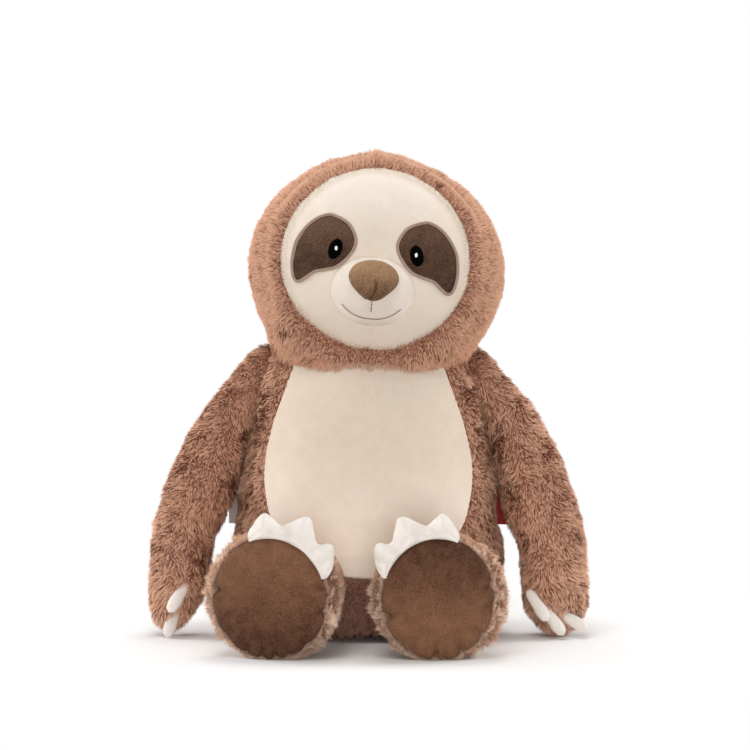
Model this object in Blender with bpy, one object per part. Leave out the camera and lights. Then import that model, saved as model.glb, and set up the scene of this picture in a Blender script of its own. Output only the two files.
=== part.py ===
"""A seated plush sloth, about 38 cm tall: head, body, arms and legs of stuffed plush.

Sizes are in metres. X runs to the toy's own left, the toy looks along -Y, and Z is up.
The head turns on the body, the arms swing at the shoulders and the legs at the hips.
Each cover is a shell of cloth over its own filling.
"""

import math

import bmesh
import bpy
from mathutils import Matrix, Vector

# Cloth, seams and running gaps
PILE_CLOTH = 0.0028
VELOUR_CLOTH = 0.0018
SEAM_GAP = 0.0003
FILL_GAP = 0.0005
JOINT_GAP = 0.0005
HIP_GAP = 0.0012
CUT_OVERRUN = 0.02
FLOOR_FLAT = 0.0005

# Torso: a pear that stands on its seat
TORSO_HEIGHT = 0.2310
TORSO_WIDTH = 0.2200
TORSO_DEPTH = 0.1680
TORSO_SQUARENESS = 2.3
TORSO_SIDES = 32
TORSO_SHARES = (
    # height, width and depth, each as a share of the torso's own
    (0.000, 0.00, 0.00),
    (0.000, 0.34, 0.32),
    (0.001, 0.62, 0.60),
    (0.022, 0.80, 0.78),
    (0.075, 0.915, 0.90),
    (0.175, 0.980, 0.97),
    (0.300, 1.000, 1.00),
    (0.430, 0.970, 0.99),
    (0.560, 0.905, 0.95),
    (0.690, 0.840, 0.88),
    (0.800, 0.785, 0.80),
    (0.890, 0.710, 0.70),
    (0.955, 0.560, 0.56),
    (0.990, 0.330, 0.33),
    (1.000, 0.00, 0.00),
)

# Belly panel: its outline on the torso's front
BELLY_WIDTH = 0.1610
BELLY_BOTTOM = 0.0510
BELLY_DROP = 0.1800
BELLY_SHARES = (
    # sideways as a share of half the width, and up from the bottom as a share of the drop
    (0.00, 0.00),
    (0.36, 0.02),
    (0.68, 0.10),
    (0.90, 0.22),
    (0.99, 0.36),
    (1.00, 0.50),
    (0.93, 0.66),
    (0.80, 0.82),
    (0.70, 0.95),
)

# Head: an egg on its side, set forward of the neck and leaning to its left
HEAD_WIDTH = 0.2030
HEAD_TOP = 0.0950
HEAD_BOTTOM = 0.0790
HEAD_FRONT = 0.0800
HEAD_BACK = 0.0820
HEAD_HEIGHT = 0.2890
HEAD_ASIDE = 0.0065
HEAD_FORWARD = 0.0050
HEAD_LEAN = 5.0
HEAD_SIDES = 36
HEAD_RINGS = 16

# Face, in the head's own frame: the face's middle line is a little to the right
FACE_WIDTH = 0.1460
FACE_HEIGHT = 0.1410
FACE_RAISE = 0.0104
FACE_ASIDE = -0.0019
FACE_SIDES = 48

MUZZLE_WIDTH = 0.0650
MUZZLE_HEIGHT = 0.0540
MUZZLE_RISE = 0.0260
MUZZLE_DROP = 0.0140

NOSE_WIDTH = 0.0390
NOSE_HEIGHT = 0.0310
NOSE_RISE = 0.0075
NOSE_DROP = 0.0050
NOSE_SHARES = (
    # the outline's corners, sideways and up as shares of half the width and height
    (0.00, 1.00),
    (0.55, 0.95),
    (0.95, 0.55),
    (0.93, 0.05),
    (0.55, -0.55),
    (0.20, -0.95),
    (0.00, -1.00),
    (-0.20, -0.95),
    (-0.55, -0.55),
    (-0.93, 0.05),
    (-0.95, 0.55),
    (-0.55, 0.95),
)

PATCH_WIDTH = 0.0474
PATCH_HEIGHT = 0.0529
PATCH_APART = 0.0800
PATCH_RAISE = 0.0150
PATCH_CLOTH = 0.0010
PATCH_SHARES = (
    # the left patch, outwards and up as shares of half the width and height
    (-0.28, 0.98),
    (-0.80, 0.76),
    (-1.00, 0.30),
    (-0.74, -0.22),
    (-0.20, -0.55),
    (0.28, -0.72),
    (0.72, -1.00),
    (0.95, -0.86),
    (0.99, -0.40),
    (0.92, 0.10),
    (0.58, 0.62),
    (0.20, 0.92),
)
STITCH_RADIUS = 0.0008
THREAD_RADIUS = 0.0005

EYE_WIDTH = 0.0100
EYE_HEIGHT = 0.0160
EYE_RISE = 0.0009
EYE_APART = 0.0632
EYE_RAISE = 0.0163
EYE_LEAN = 17.0
GLINT_WIDTH = 0.0024
GLINT_HEIGHT = 0.0048
GLINT_RISE = 0.0005

SMILE_WIDTH = 0.0450
SMILE_CORNER_DROP = 0.0252
SMILE_DEPTH = 0.0093
SMILE_FLATNESS = 2.6
NOSE_LINE_TOP_DROP = 0.0222
NOSE_LINE_LENGTH = 0.0065

# Arms: tapered tubes that hang from a flat seam on the torso's side
SHOULDER_SHARE = 0.7173
SHOULDER_HEIGHT = 0.2005
SHOULDER_SLOPE = 20.0
SHOULDER_YAW = 4.0
ARM_REST_SWING = 8.0
ARM_LENGTH = 0.2140
ARM_THICKNESS = 0.0560
ARM_TOP = 0.0220
ARM_SIDES = 20
SHOULDER_SEAM_LENGTH = 0.0440
ARM_SHARES = (
    # along as a share of the arm's length, then the middle's offset from the seam's plane,
    # the half thickness and the half depth as shares of half the thickness
    (-0.085, 0.23, 0.30, 0.42),
    (-0.055, 0.29, 0.48, 0.66),
    (0.020, 0.43, 0.64, 0.86),
    (0.150, 0.67, 0.76, 0.90),
    (0.250, 0.83, 0.78, 0.92),
    (0.370, 0.89, 0.86, 0.95),
    (0.490, 0.83, 0.93, 0.98),
    (0.610, 0.72, 0.98, 1.00),
    (0.710, 0.62, 0.99, 0.99),
    (0.805, 0.53, 0.92, 0.93),
    (0.885, 0.46, 0.79, 0.80),
    (0.950, 0.42, 0.58, 0.60),
    (0.988, 0.40, 0.28, 0.30),
)

CLAW_WIDTH = 0.0105
CLAW_LENGTH = 0.0320
CLAW_SIDES = 10
CLAW_SHARES = (
    # along the claw, and its width, as shares of its length and of its width
    (0.00, 0.00),
    (0.02, 0.45),
    (0.16, 0.85),
    (0.45, 1.00),
    (0.72, 0.86),
    (0.92, 0.50),
    (1.00, 0.00),
)
# Root and tip of each claw in the arm's own frame: out from the seam's plane and forward, as
# shares of the arm's thickness, and down as a share of its length
LEFT_CLAW_SHARES = (
    ((-0.223, 0.339, 0.8318), (-0.152, 0.536, 0.9346)),
    ((-0.107, 0.304, 0.9019), (0.000, 0.464, 1.0047)),
    ((0.125, 0.241, 0.9416), (0.348, 0.384, 1.0164)),
)
RIGHT_CLAW_SHARES = (
    ((0.102, 0.357, 0.8350), (0.155, 0.554, 0.9299)),
    ((0.113, 0.196, 0.9112), (0.080, 0.268, 1.0234)),
    ((0.071, -0.107, 0.8879), (0.054, -0.223, 0.9930)),
)

# Legs: short tubes that end in the soles
HIP_APART = 0.1050
HIP_FORWARD = 0.0760
HIP_RADIUS = 0.0360
FOOT_REACH = 0.1680
LEG_WIDTH = 0.1030
LEG_HEIGHT = 0.0946
SOLE_HEIGHT = 0.0468
LEFT_SPLAY = 2.0
RIGHT_SPLAY = 12.0
LEG_SIDES = 24
LEG_SHARES = (
    # along as a share of the leg's length, then half the width and half the height as shares
    (0.18, 0.750, 0.800),
    (0.41, 0.850, 0.890),
    (0.64, 0.950, 0.970),
    (0.82, 1.000, 1.000),
    (0.93, 0.985, 0.995),
    (1.00, 0.915, 0.985),
)
HOLLOW_BALL_SHARES = (0.0, 0.2, 0.4, 0.58)
HOLLOW_FUNNEL_SHARES = (
    # along the leg and the radius of the space it sweeps, as shares of the hip's radius
    (-0.34, 1.06),
    (0.00, 1.20),
    (0.85, 1.85),
)

SOLE_WIDTH = 0.0834
SOLE_LENGTH = 0.0913
SOLE_CLOTH = 0.0030
SOLE_CROWN = 0.0030
SOLE_SIDES = 32
SOLE_SHARES = (
    # how wide and how far up the crown, as shares of the sole and of its crown
    (0.90, 0.60),
    (0.50, 0.95),
    (0.00, 1.00),
)

# The foot's claws: one piece with three points, round the sole's upper inner edge
CROWN_REACH = 0.0665
CROWN_CLOTH = 0.0040
CROWN_SHARES = (
    # degrees from the top towards the other foot, and the reach as a share
    (-19.0, 0.76),
    (-11.0, 0.87),
    (-4.0, 0.955),
    (2.0, 0.90),
    (8.3, 0.835),
    (15.4, 0.90),
    (22.0, 0.99),
    (26.6, 1.00),
    (31.8, 0.91),
    (39.5, 0.82),
    (46.2, 0.905),
    (50.7, 0.91),
    (56.0, 0.855),
    (64.7, 0.75),
)
CROWN_START_ANGLE = -21.0
CROWN_END_ANGLE = 70.0
CROWN_INNER_STEPS = 12

# Labels in the side seams
CARE_LABEL_HEIGHT = 0.0970
CARE_LABEL_WIDTH = 0.0240
SIDE_TAG_HEIGHT = 0.1010
SIDE_TAG_WIDTH = 0.0310
LABEL_SET_IN = 0.0025
LABEL_DEPTH = 0.0160
LABEL_CLOTH = 0.0010
LABEL_BACK = 0.0250

# The foot that points furthest out reaches furthest forward, at the inner edge of its claws
TORSO_BACK_SET = (FOOT_REACH - TORSO_DEPTH / 2) / 2
CROWN_SIDE = CROWN_REACH * max(reach * math.sin(math.radians(at)) for at, reach in CROWN_SHARES)
TURNED_OUT = math.radians(RIGHT_SPLAY)
CROWN_FRONT = (FOOT_REACH - HIP_FORWARD - CROWN_SIDE * math.sin(TURNED_OUT)) / math.cos(TURNED_OUT)
LEG_LENGTH = CROWN_FRONT - CROWN_CLOTH - SEAM_GAP

FINISHES = {
    # base colour, roughness and metallic of each material
    "brown_plush": ((0.45, 0.24, 0.16), 0.95, 0.0),
    "peach_plush": ((0.58, 0.36, 0.25), 0.95, 0.0),
    "cream_velour": ((0.80, 0.66, 0.53), 0.90, 0.0),
    "white_velour": ((0.86, 0.82, 0.78), 0.90, 0.0),
    "dark_velour": ((0.09, 0.045, 0.03), 0.92, 0.0),
    "brown_velour": ((0.17, 0.09, 0.055), 0.92, 0.0),
    "nose_velour": ((0.27, 0.15, 0.09), 0.90, 0.0),
    "edge_thread": ((0.23, 0.16, 0.12), 0.60, 0.0),
    "black_thread": ((0.012, 0.010, 0.010), 0.45, 0.0),
    "white_thread": ((0.90, 0.90, 0.90), 0.50, 0.0),
    "brown_thread": ((0.20, 0.13, 0.10), 0.60, 0.0),
    "white_tape": ((0.82, 0.82, 0.82), 0.70, 0.0),
    "red_tape": ((0.45, 0.02, 0.02), 0.65, 0.0),
    "polyester_fibre": ((0.92, 0.92, 0.90), 1.00, 0.0),
}


def clear_scene():
    for obj in list(bpy.data.objects):
        bpy.data.objects.remove(obj, do_unlink=True)


def new_collection(name, helper=False):
    collection = bpy.data.collections.new(name)
    bpy.context.scene.collection.children.link(collection)
    collection.hide_render = helper
    return collection


def finish(name):
    """The material of this name, made once."""
    material = bpy.data.materials.get(name)
    if material is None:
        colour, roughness, metallic = FINISHES[name]
        material = bpy.data.materials.new(name)
        material.use_nodes = True
        shader = material.node_tree.nodes["Principled BSDF"]
        shader.inputs["Base Color"].default_value = (*colour, 1.0)
        shader.inputs["Roughness"].default_value = roughness
        shader.inputs["Metallic"].default_value = metallic
        material.diffuse_color = (*colour, 1.0)
    return material


def place_piece(name, data, finish_name, parent, matrix=None):
    """Put a mesh or curve in the scene as one named piece on its parent."""
    piece = bpy.data.objects.new(name, data)
    bpy.data.collections["plush_sloth"].objects.link(piece)
    data.materials.append(finish(finish_name))
    piece.parent = parent
    if matrix is not None:
        piece.matrix_local = matrix
    return piece


def place_cutter(name, mesh, parent, matrix=None):
    cutter = bpy.data.objects.new(name, mesh)
    bpy.data.collections["cutters"].objects.link(cutter)
    cutter.parent = parent
    cutter.hide_render = True
    cutter.display_type = "WIRE"
    if matrix is not None:
        cutter.matrix_local = matrix
    return cutter


def boolean(piece, operation, other):
    modifier = piece.modifiers.new(f"{operation.lower()}_{other.name}", "BOOLEAN")
    modifier.operation = operation
    modifier.solver = "EXACT"
    modifier.object = other


def empty(name, parent, matrix):
    pivot = bpy.data.objects.new(name, None)
    bpy.data.collections["plush_sloth"].objects.link(pivot)
    pivot.parent = parent
    pivot.matrix_local = matrix
    return pivot


def frame_matrix(x_axis, y_axis, z_axis, place):
    """The matrix of a frame with these axes at this place."""
    turn = Matrix((x_axis, y_axis, z_axis)).transposed().to_4x4()
    return Matrix.Translation(place) @ turn


# Surfaces from rings of points


def add_rings(surface, rings, inward=False):
    """Skin one closed surface through rings of points; a ring of one point is a pole."""
    loops = [[surface.verts.new(point) for point in ring] for ring in rings]
    faces = []
    for lower, upper in zip(loops, loops[1:]):
        for turn in range(max(len(lower), len(upper))):
            corners = (
                lower[turn % len(lower)],
                lower[(turn + 1) % len(lower)],
                upper[(turn + 1) % len(upper)],
                upper[turn % len(upper)],
            )
            faces.append(surface.faces.new(list(dict.fromkeys(corners))))
    bmesh.ops.recalc_face_normals(surface, faces=faces)
    if inward:
        bmesh.ops.reverse_faces(surface, faces=faces)


def ring_mesh(name, *ring_sets):
    """A mesh of one closed surface, or of an outer surface and the hollow in it."""
    surface = bmesh.new()
    for number, rings in enumerate(ring_sets):
        add_rings(surface, rings, inward=number > 0)
    mesh = bpy.data.meshes.new(name)
    surface.to_mesh(mesh)
    surface.free()
    mesh.shade_smooth()
    mesh.set_sharp_from_angle(angle=math.radians(50))
    return mesh


def prism_mesh(name, outline, start, end):
    """A flat outline of Vectors with z for height, drawn out from start to end."""
    surface = bmesh.new()
    bottom = surface.faces.new([surface.verts.new(point + start) for point in outline])
    grown = bmesh.ops.extrude_face_region(surface, geom=[bottom])
    raised = [item for item in grown["geom"] if isinstance(item, bmesh.types.BMVert)]
    bmesh.ops.translate(surface, verts=raised, vec=end - start)
    bmesh.ops.recalc_face_normals(surface, faces=surface.faces[:])
    mesh = bpy.data.meshes.new(name)
    surface.to_mesh(mesh)
    surface.free()
    return mesh


def block_mesh(name, low, high):
    """A box between two corners."""
    surface = bmesh.new()
    bmesh.ops.create_cube(surface, size=1)
    bmesh.ops.scale(surface, verts=surface.verts[:], vec=high - low)
    bmesh.ops.translate(surface, verts=surface.verts[:], vec=(high + low) / 2)
    mesh = bpy.data.meshes.new(name)
    surface.to_mesh(mesh)
    surface.free()
    return mesh


def curve_value(before, start, end, after, share):
    """One number on a smooth curve from start to end."""
    slope = (end - before) / 2
    next_slope = (after - start) / 2
    rise = end - start
    bend = 3 * rise - 2 * slope - next_slope
    twist = slope + next_slope - 2 * rise
    return start + share * (slope + share * (bend + share * twist))


def smooth_row(rows, place, closed=False):
    """The row at a place counted in rows, on a smooth curve through them all."""
    count = len(rows)
    if closed:
        first = int(place)
        near = [rows[(first + step) % count] for step in (-1, 0, 1, 2)]
    else:
        first = min(int(place), count - 2)
        near = [rows[min(max(first + step, 0), count - 1)] for step in (-1, 0, 1, 2)]
    return tuple(curve_value(*numbers, place - first) for numbers in zip(*near))


def loft_rings(rows, sides, squareness, steps=2):
    """Rings through rows of height, middle x, half x and half y; squareness 2 is an ellipse."""
    rings = []
    for step in range((len(rows) - 1) * steps + 1):
        height, middle, half_x, half_y = smooth_row(rows, step / steps)
        if step % steps == 0 and rows[step // steps][2] == 0:
            rings.append([Vector((middle, 0, height))])
            continue
        ring = []
        for side in range(sides):
            angle = math.tau * side / sides
            across, along = math.cos(angle), math.sin(angle)
            x = math.copysign(abs(across) ** (2 / squareness), across) * half_x
            y = math.copysign(abs(along) ** (2 / squareness), along) * half_y
            ring.append(Vector((middle + x, y, height)))
        rings.append(ring)
    return rings


# Torso


def torso_rings(inset, coarse=1):
    """The torso's surface, or the same drawn in by an inset."""
    half_width = TORSO_WIDTH / 2 - inset
    half_depth = TORSO_DEPTH / 2 - inset
    bottom = inset - FLOOR_FLAT
    height = TORSO_HEIGHT - inset - bottom
    rows = [(bottom + h * height, 0, w * half_width, d * half_depth) for h, w, d in TORSO_SHARES]
    return loft_rings(rows, TORSO_SIDES // coarse, TORSO_SQUARENESS, 1)


def belly_outline(inset):
    """The belly panel's outline in the plane of X and Z, up past the torso's top."""
    half = BELLY_WIDTH / 2 - inset
    bottom = BELLY_BOTTOM + inset
    top = TORSO_HEIGHT + CUT_OVERRUN
    count = (len(BELLY_SHARES) - 1) * 2
    points = [smooth_row(BELLY_SHARES, step / 2) for step in range(count + 1)]
    left = [Vector((half * x, 0, bottom + BELLY_DROP * z)) for x, z in points]
    left.append(Vector((left[-1].x, 0, top)))
    right = [Vector((-point.x, 0, point.z)) for point in reversed(left[1:])]
    return left + right


def make_torso(root):
    """The body's cover, its belly panel and its filling, each still a whole form."""
    pieces = []
    for name, finish_name in (("body_fur", "brown_plush"), ("belly_panel", "cream_velour")):
        shell = ring_mesh(name, torso_rings(0), torso_rings(PILE_CLOTH))
        pieces.append(place_piece(name, shell, finish_name, root))
    filling = ring_mesh("body_stuffing", torso_rings(PILE_CLOTH + FILL_GAP, 2))
    return pieces + [place_piece("body_stuffing", filling, "polyester_fibre", root)]


def cut_floor_and_belly(root, fur, belly):
    """Cut the body's cover flat below, and part the cover and the panel at the belly's seam."""
    reach = TORSO_WIDTH / 2 + CUT_OVERRUN
    floor = block_mesh("floor", Vector((-reach, -reach, -CUT_OVERRUN)), Vector((reach, reach, 0)))
    boolean(fur, "DIFFERENCE", place_cutter("floor", floor, root))
    front, middle = Vector((0, -TORSO_DEPTH, 0)), Vector((0, -PILE_CLOTH, 0))
    opening = prism_mesh("belly_opening", belly_outline(0), front, middle)
    panel = prism_mesh("belly_outline", belly_outline(SEAM_GAP), front, middle)
    boolean(fur, "DIFFERENCE", place_cutter("belly_opening", opening, root))
    boolean(belly, "INTERSECT", place_cutter("belly_outline", panel, root))


# Head


def head_rings(inset, coarse=1):
    """The head's surface from the front pole to the back pole, drawn in by an inset."""
    half_width = HEAD_WIDTH / 2 - inset
    count, sides = HEAD_RINGS // coarse, HEAD_SIDES // coarse
    rings = []
    for step in range(count + 1):
        polar = math.pi * step / count
        depth = (HEAD_FRONT if polar < math.pi / 2 else HEAD_BACK) - inset
        y = -depth * math.cos(polar)
        if step in (0, count):
            rings.append([Vector((0, y, 0))])
            continue
        ring = []
        for side in range(sides):
            angle = math.tau * side / sides
            height = (HEAD_TOP if angle < math.pi else HEAD_BOTTOM) - inset
            x = half_width * math.sin(polar) * math.cos(angle)
            ring.append(Vector((x, y, height * math.sin(polar) * math.sin(angle))))
        rings.append(ring)
    return rings


def face_surface(x, z):
    """How far back the face's cloth lies at x and z, in the head's frame."""
    height = HEAD_TOP if z > 0 else HEAD_BOTTOM
    rest = 1 - (2 * x / HEAD_WIDTH) ** 2 - (z / height) ** 2
    return -HEAD_FRONT * math.sqrt(max(rest, 0))


def muzzle_surface(x, z):
    """How far back the muzzle lies at x and z, or the face where the muzzle ends."""
    across = (x - FACE_ASIDE) / (MUZZLE_WIDTH / 2)
    up = (z + MUZZLE_DROP) / (MUZZLE_HEIGHT / 2)
    rest = max(1 - across**2 - up**2, 0)
    return face_surface(x, z) - SEAM_GAP - MUZZLE_RISE * math.sqrt(rest)


def lifted(surface, x, z, lift):
    """The point a lift above a surface at x and z, square to it."""
    step = STITCH_RADIUS
    place = Vector((x, surface(x, z), z))
    right = Vector((step, surface(x + step, z) - place.y, 0))
    up = Vector((0, surface(x, z + step) - place.y, step))
    return place + right.cross(up).normalized() * lift


def ellipse_outline(width, height, lean=0.0):
    """An ellipse as a function from a share of a turn to sideways and up."""
    cos_lean, sin_lean = math.cos(math.radians(lean)), math.sin(math.radians(lean))

    def outline(share):
        x = width / 2 * math.cos(math.tau * share)
        z = height / 2 * math.sin(math.tau * share)
        return x * cos_lean - z * sin_lean, x * sin_lean + z * cos_lean

    return outline


def share_outline(shares, width, height, flip=1):
    """A smooth closed outline through corners given as shares of half the width and height."""

    def outline(share):
        x, z = smooth_row(shares, share * len(shares), closed=True)
        return flip * x * width / 2, z * height / 2

    return outline


def pad_rings(surface, centre, outline, rise, domed, sides, rings, shrink=1.0, back=True):
    """A pad that lies on a surface: a dome or a flat layer of cloth, closed at its back."""

    def layer(share, height):
        polar = share * math.pi / 2
        spread = math.sin(polar) if domed else share
        lift = height * math.cos(polar) if domed else height
        if spread == 0:
            x, z = centre
            return [Vector((x, surface(x, z) - SEAM_GAP - lift, z))]
        ring = []
        for side in range(sides):
            across, up = outline(side / sides)
            x, z = centre[0] + across * spread * shrink, centre[1] + up * spread * shrink
            ring.append(Vector((x, surface(x, z) - SEAM_GAP - lift, z)))
        return ring

    front = [layer(ring / rings, rise) for ring in range(rings + 1)]
    if not back:
        return front
    first = rings - 1 if domed else rings
    return front + [layer(ring / rings, 0) for ring in range(first, -1, -1)]


def thread_curve(name, points, radius, cyclic):
    """A round thread through points, as a curve with filled ends."""
    curve = bpy.data.curves.new(name, "CURVE")
    curve.dimensions = "3D"
    curve.bevel_depth = radius
    curve.bevel_resolution = 1
    curve.use_fill_caps = True
    spline = curve.splines.new("POLY")
    spline.points.add(len(points) - 1)
    for point, place in zip(spline.points, points):
        point.co = (*place, 1)
    spline.use_cyclic_u = cyclic
    return curve


def make_eye(head, side, flip):
    """One eye patch with its stitched edge, the eye on it and the glint on the eye."""
    centre = (FACE_ASIDE + flip * PATCH_APART / 2, PATCH_RAISE)
    outline = share_outline(PATCH_SHARES, PATCH_WIDTH, PATCH_HEIGHT, flip)
    rings = pad_rings(face_surface, centre, outline, PATCH_CLOTH, False, 28, 3)
    patch = ring_mesh(f"eye_patch_{side}", rings)
    place_piece(f"eye_patch_{side}", patch, "dark_velour", head)

    count = 32
    offset = STITCH_RADIUS + SEAM_GAP
    points = []
    for step in range(count):
        here = Vector(outline(step / count))
        before, after = Vector(outline((step - 1) / count)), Vector(outline((step + 1) / count))
        along = (after - before).normalized() * flip
        x, z = Vector(centre) + here + Vector((along.y, -along.x)) * offset
        points.append(lifted(face_surface, x, z, offset))
    edge = thread_curve(f"eye_edge_{side}", points, STITCH_RADIUS, True)
    place_piece(f"eye_edge_{side}", edge, "edge_thread", head)

    def patch_top(x, z):
        return face_surface(x, z) - SEAM_GAP - PATCH_CLOTH

    eye_centre = (FACE_ASIDE + flip * EYE_APART / 2, EYE_RAISE)
    outline = ellipse_outline(EYE_WIDTH, EYE_HEIGHT, flip * EYE_LEAN)
    eye = ring_mesh(f"eye_{side}", pad_rings(patch_top, eye_centre, outline, EYE_RISE, False, 20, 2))
    place_piece(f"eye_{side}", eye, "black_thread", head)

    def eye_top(x, z):
        return patch_top(x, z) - SEAM_GAP - EYE_RISE

    outline = ellipse_outline(GLINT_WIDTH, GLINT_HEIGHT)
    glint = ring_mesh(
        f"eye_glint_{side}", pad_rings(eye_top, eye_centre, outline, GLINT_RISE, False, 12, 1)
    )
    place_piece(f"eye_glint_{side}", glint, "white_thread", head)


def make_muzzle(head):
    """The muzzle's cover and filling, the nose and the mouth's stitches."""
    centre = (FACE_ASIDE, -MUZZLE_DROP)
    outline = ellipse_outline(MUZZLE_WIDTH, MUZZLE_HEIGHT)
    sides, rings = 24, 5
    inset = VELOUR_CLOTH
    outer = pad_rings(face_surface, centre, outline, MUZZLE_RISE, True, sides, rings, back=False)
    shrink = 1 - 2 * inset / MUZZLE_HEIGHT
    inner = pad_rings(
        face_surface, centre, outline, MUZZLE_RISE - inset, True, sides, rings, shrink, back=False
    )
    cover = ring_mesh("muzzle_cover", outer + inner[::-1])
    place_piece("muzzle_cover", cover, "white_velour", head)
    inset = VELOUR_CLOTH + FILL_GAP
    shrink = 1 - 2 * inset / MUZZLE_HEIGHT
    filling = pad_rings(
        face_surface, centre, outline, MUZZLE_RISE - inset, True, sides, rings, shrink
    )
    place_piece("muzzle_stuffing", ring_mesh("muzzle_stuffing", filling), "polyester_fibre", head)

    def nose_seat(x, z):
        return muzzle_surface(x, z) - SEAM_GAP

    centre = (FACE_ASIDE, -NOSE_DROP)
    outline = share_outline(NOSE_SHARES, NOSE_WIDTH, NOSE_HEIGHT)
    nose = ring_mesh("nose", pad_rings(nose_seat, centre, outline, NOSE_RISE, True, 24, 4))
    place_piece("nose", nose, "nose_velour", head)

    lift = THREAD_RADIUS + SEAM_GAP
    count = 16
    smile = []
    for step in range(count + 1):
        across = 2 * step / count - 1
        z = -SMILE_CORNER_DROP - SMILE_DEPTH * (1 - abs(across) ** SMILE_FLATNESS)
        x = FACE_ASIDE + across * SMILE_WIDTH / 2
        smile.append(lifted(muzzle_surface, x, z, lift))
    curve = thread_curve("mouth_stitch", smile, THREAD_RADIUS, False)
    place_piece("mouth_stitch", curve, "brown_thread", head)
    count = 4
    line = []
    for step in range(count + 1):
        z = -NOSE_LINE_TOP_DROP - NOSE_LINE_LENGTH * step / count
        line.append(lifted(muzzle_surface, FACE_ASIDE, z, lift))
    curve = thread_curve("nose_stitch", line, THREAD_RADIUS, False)
    place_piece("nose_stitch", curve, "brown_thread", head)


def make_head(root):
    place = Vector((HEAD_ASIDE, -HEAD_FORWARD, HEAD_HEIGHT))
    lean = Matrix.Rotation(math.radians(HEAD_LEAN), 4, "Y")
    head = empty("head_pivot", root, Matrix.Translation(place) @ lean)
    filling = ring_mesh("head_stuffing", head_rings(PILE_CLOTH + FILL_GAP, 2))
    place_piece("head_stuffing", filling, "polyester_fibre", head)

    front, middle = Vector((0, -2 * HEAD_FRONT, 0)), Vector((0, 0, 0))
    for name, finish_name, operation, inset in (
        ("head_fur", "brown_plush", "DIFFERENCE", 0),
        ("face_panel", "cream_velour", "INTERSECT", SEAM_GAP),
    ):
        shell = ring_mesh(name, head_rings(0), head_rings(PILE_CLOTH))
        piece = place_piece(name, shell, finish_name, head)
        outline = ellipse_outline(FACE_WIDTH - 2 * inset, FACE_HEIGHT - 2 * inset)
        corners = [outline(side / FACE_SIDES) for side in range(FACE_SIDES)]
        points = [Vector((FACE_ASIDE + x, 0, FACE_RAISE + z)) for x, z in corners]
        cutter = prism_mesh(f"{name}_outline", points, front, middle)
        boolean(piece, operation, place_cutter(f"{name}_outline", cutter, head))
    make_muzzle(head)
    make_eye(head, "left", 1)
    make_eye(head, "right", -1)
    return head


def cut_neck(head, pieces):
    """Hollow the torso's top to the space that the head's underside sweeps as it turns."""
    half = HEAD_WIDTH / 2 + JOINT_GAP
    drop = HEAD_BOTTOM + JOINT_GAP
    surface = bmesh.new()
    bmesh.ops.create_uvsphere(surface, u_segments=HEAD_SIDES, v_segments=HEAD_RINGS * 2, radius=1)
    bmesh.ops.scale(surface, verts=surface.verts[:], vec=(half, half, drop))
    mesh = bpy.data.meshes.new("neck_hollow")
    surface.to_mesh(mesh)
    surface.free()
    hollow = place_cutter("neck_hollow", mesh, head)
    for piece in pieces:
        boolean(piece, "DIFFERENCE", hollow)


# Arms


def arm_rings(inset, coarse=1):
    """The arm's surface in its own frame: Z runs down the arm, X away from the torso."""
    half = ARM_THICKNESS / 2
    shrink = 1 - inset / half
    start, end = -ARM_TOP + inset, ARM_LENGTH - inset
    first, last = ARM_SHARES[0], ARM_SHARES[-1]
    rows = [(start, first[1] * half, 0, 0)]
    for along, middle, thick, deep in ARM_SHARES:
        place = max(along * ARM_LENGTH, start + inset / 2)
        rows.append((place, middle * half, thick * half * shrink, deep * half * shrink))
    rows.append((end, last[1] * half, 0, 0))
    rows[-2] = (min(rows[-2][0], end - inset / 2), *rows[-2][1:])
    return loft_rings(rows, ARM_SIDES // coarse, 2, 1)


def claw_mesh(name):
    """One stuffed claw along Z, its root at the origin."""
    rings = []
    for along, wide in CLAW_SHARES:
        height, radius = along * CLAW_LENGTH, wide * CLAW_WIDTH / 2
        if radius == 0:
            rings.append([Vector((0, 0, height))])
            continue
        angles = [math.tau * side / CLAW_SIDES for side in range(CLAW_SIDES)]
        rings.append([Vector((radius * math.cos(a), radius * math.sin(a), height)) for a in angles])
    return ring_mesh(name, rings)


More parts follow.
